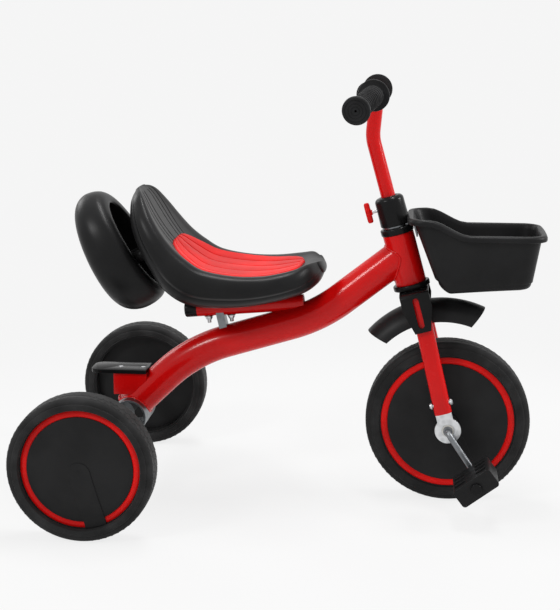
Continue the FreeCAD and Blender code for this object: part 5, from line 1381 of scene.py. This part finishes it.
class TRIKE_OT_stage(bpy.types.Operator):
    """Makes the floor, the soft lights and the camera"""
    bl_idname = "trike.stage"
    bl_label = "Stage"

    def execute(self, context):
        scene = context.scene
        form = Form()
        corners = [(x * FLOOR_REACH, y * FLOOR_REACH, 0) for x, y in ((-1, -1), (1, -1), (1, 1), (-1, 1))]
        form.faces.append(tuple(form.loop(corners)))
        floor = make_plain("floor", form)
        floor.data.materials.append(self.floor_finish(tuple(scene.trike_colours.floor)))
        self.world(scene)
        self.lamps(scene)
        self.camera(scene)
        return {"FINISHED"}

    def floor_finish(self, pale):
        """A pale floor that keeps a faint shadow and runs out into the backdrop."""
        finish = Finish("pale_floor", Roughness=0.9, Specular_IOR_Level=0.0)
        grey = finish.blend(tinted(pale, 0.99), tinted(pale, 1.01), finish.noise(3.0))
        finish.feed("Base Color", grey)
        away = finish.add("ShaderNodeVectorMath", {"operation": "LENGTH"}, {0: finish.place})
        near = 1 - Value(finish, away.outputs["Value"]).step(SHADOW_FROM, SHADOW_TO)
        path = finish.add("ShaderNodeLightPath", {}, {}).outputs
        camera, glossy, through = (Value(finish, path[f"Is {kind} Ray"])
                                   for kind in ("Camera", "Glossy", "Transmission"))
        seen = camera + glossy + through
        glow = finish.add("ShaderNodeEmission", {}, {"Color": (*BACKDROP, 1.0), "Strength": 1.0})
        mix = finish.add("ShaderNodeMixShader", {}, {0: seen * (1 - near * SHADOW_SHARE)})
        finish.links.new(finish.shader.outputs[0], mix.inputs[1])
        finish.links.new(glow.outputs[0], mix.inputs[2])
        finish.links.new(mix.outputs[0], finish.nodes["Material Output"].inputs["Surface"])
        return finish.material

    def world(self, scene):
        """Soft even light, seen as a pale backdrop."""
        world = bpy.data.worlds.new("soft_room")
        world.use_nodes = True
        nodes, links = world.node_tree.nodes, world.node_tree.links
        room = nodes["Background"]
        room.inputs["Color"].default_value = (1.0, 1.0, 1.0, 1.0)
        room.inputs["Strength"].default_value = ROOM_LIGHT
        backdrop = nodes.new("ShaderNodeBackground")
        backdrop.inputs["Color"].default_value = (*BACKDROP, 1.0)
        path, mix = nodes.new("ShaderNodeLightPath"), nodes.new("ShaderNodeMixShader")
        either, seen = nodes.new("ShaderNodeMath"), nodes.new("ShaderNodeMath")
        links.new(path.outputs["Is Camera Ray"], either.inputs[0])
        links.new(path.outputs["Is Glossy Ray"], either.inputs[1])
        links.new(either.outputs[0], seen.inputs[0])
        links.new(path.outputs["Is Transmission Ray"], seen.inputs[1])
        links.new(seen.outputs[0], mix.inputs[0])
        links.new(room.outputs[0], mix.inputs[1])
        links.new(backdrop.outputs[0], mix.inputs[2])
        links.new(mix.outputs[0], nodes["World Output"].inputs["Surface"])
        scene.world = world

    def lamps(self, scene):
        """Large soft lamps that all point at the tricycle."""
        for name, (place, size, power) in LAMPS.items():
            lamp = bpy.data.lights.new(name, "AREA")
            lamp.shape, lamp.size, lamp.size_y, lamp.energy = "RECTANGLE", *size, power
            held = bpy.data.objects.new(name, lamp)
            held.location = place
            held.rotation_euler = (LAMPS_AT - Vector(place)).to_track_quat("-Z", "Y").to_euler()
            scene.collection.objects.link(held)

    def camera(self, scene):
        """The viewpoint, level from side to side."""
        lens = bpy.data.cameras.new("viewpoint")
        lens.sensor_width, lens.lens, lens.shift_y = 36.0, 77.44, -0.0705
        level = math.cos(CAMERA_PITCH)
        along = Vector((math.sin(CAMERA_YAW) * level, math.cos(CAMERA_YAW) * level, -math.sin(CAMERA_PITCH)))
        held = bpy.data.objects.new("viewpoint", lens)
        held.location = CAMERA_AT
        held.rotation_euler = along.to_track_quat("-Z", "Y").to_euler()
        scene.collection.objects.link(held)
        scene.camera = held


class TRIKE_PT_panel(bpy.types.Panel):
    """The tricycle's settings and makers"""
    bl_idname = "TRIKE_PT_panel"
    bl_label = "Tricycle"
    bl_space_type = "VIEW_3D"
    bl_region_type = "UI"
    bl_category = "Tricycle"

    def draw(self, context):
        for group in (getattr(context.scene, name) for name in GROUPS):
            box = self.layout.box()
            for name in group.__annotations__:
                box.prop(group, name)
        for maker in MAKERS:
            self.layout.operator(maker.bl_idname)


MAKERS = (
    TRIKE_OT_finishes, TRIKE_OT_seat, TRIKE_OT_bin, TRIKE_OT_basket, TRIKE_OT_tyres, TRIKE_OT_grips,
    TRIKE_OT_tube, TRIKE_OT_fasteners, TRIKE_OT_edges, TRIKE_OT_clamp, TRIKE_OT_stage,
)
GROUPS = {
    "trike_colours": TrikeColours, "trike_mouldings": TrikeMouldings, "trike_wheels": TrikeWheels,
    "trike_frame": TrikeFrame,
}
CLASSES = (*GROUPS.values(), *MAKERS, TRIKE_PT_panel)


def register():
    """Adds the settings, the makers and the panel to Blender."""
    for kind in CLASSES:
        bpy.utils.register_class(kind)
    for name, kind in GROUPS.items():
        setattr(bpy.types.Scene, name, bpy.props.PointerProperty(type=kind))


def unregister():
    """Takes them out again."""
    for name in GROUPS:
        delattr(bpy.types.Scene, name)
    for kind in reversed(CLASSES):
        bpy.utils.unregister_class(kind)


def main():
    """Runs every maker in turn."""
    register()
    for maker in MAKERS:
        group, name = maker.bl_idname.split(".")
        getattr(getattr(bpy.ops, group), name)()
    bpy.context.scene.view_settings.view_transform = "Standard"


if __name__ == "__main__":
    main()
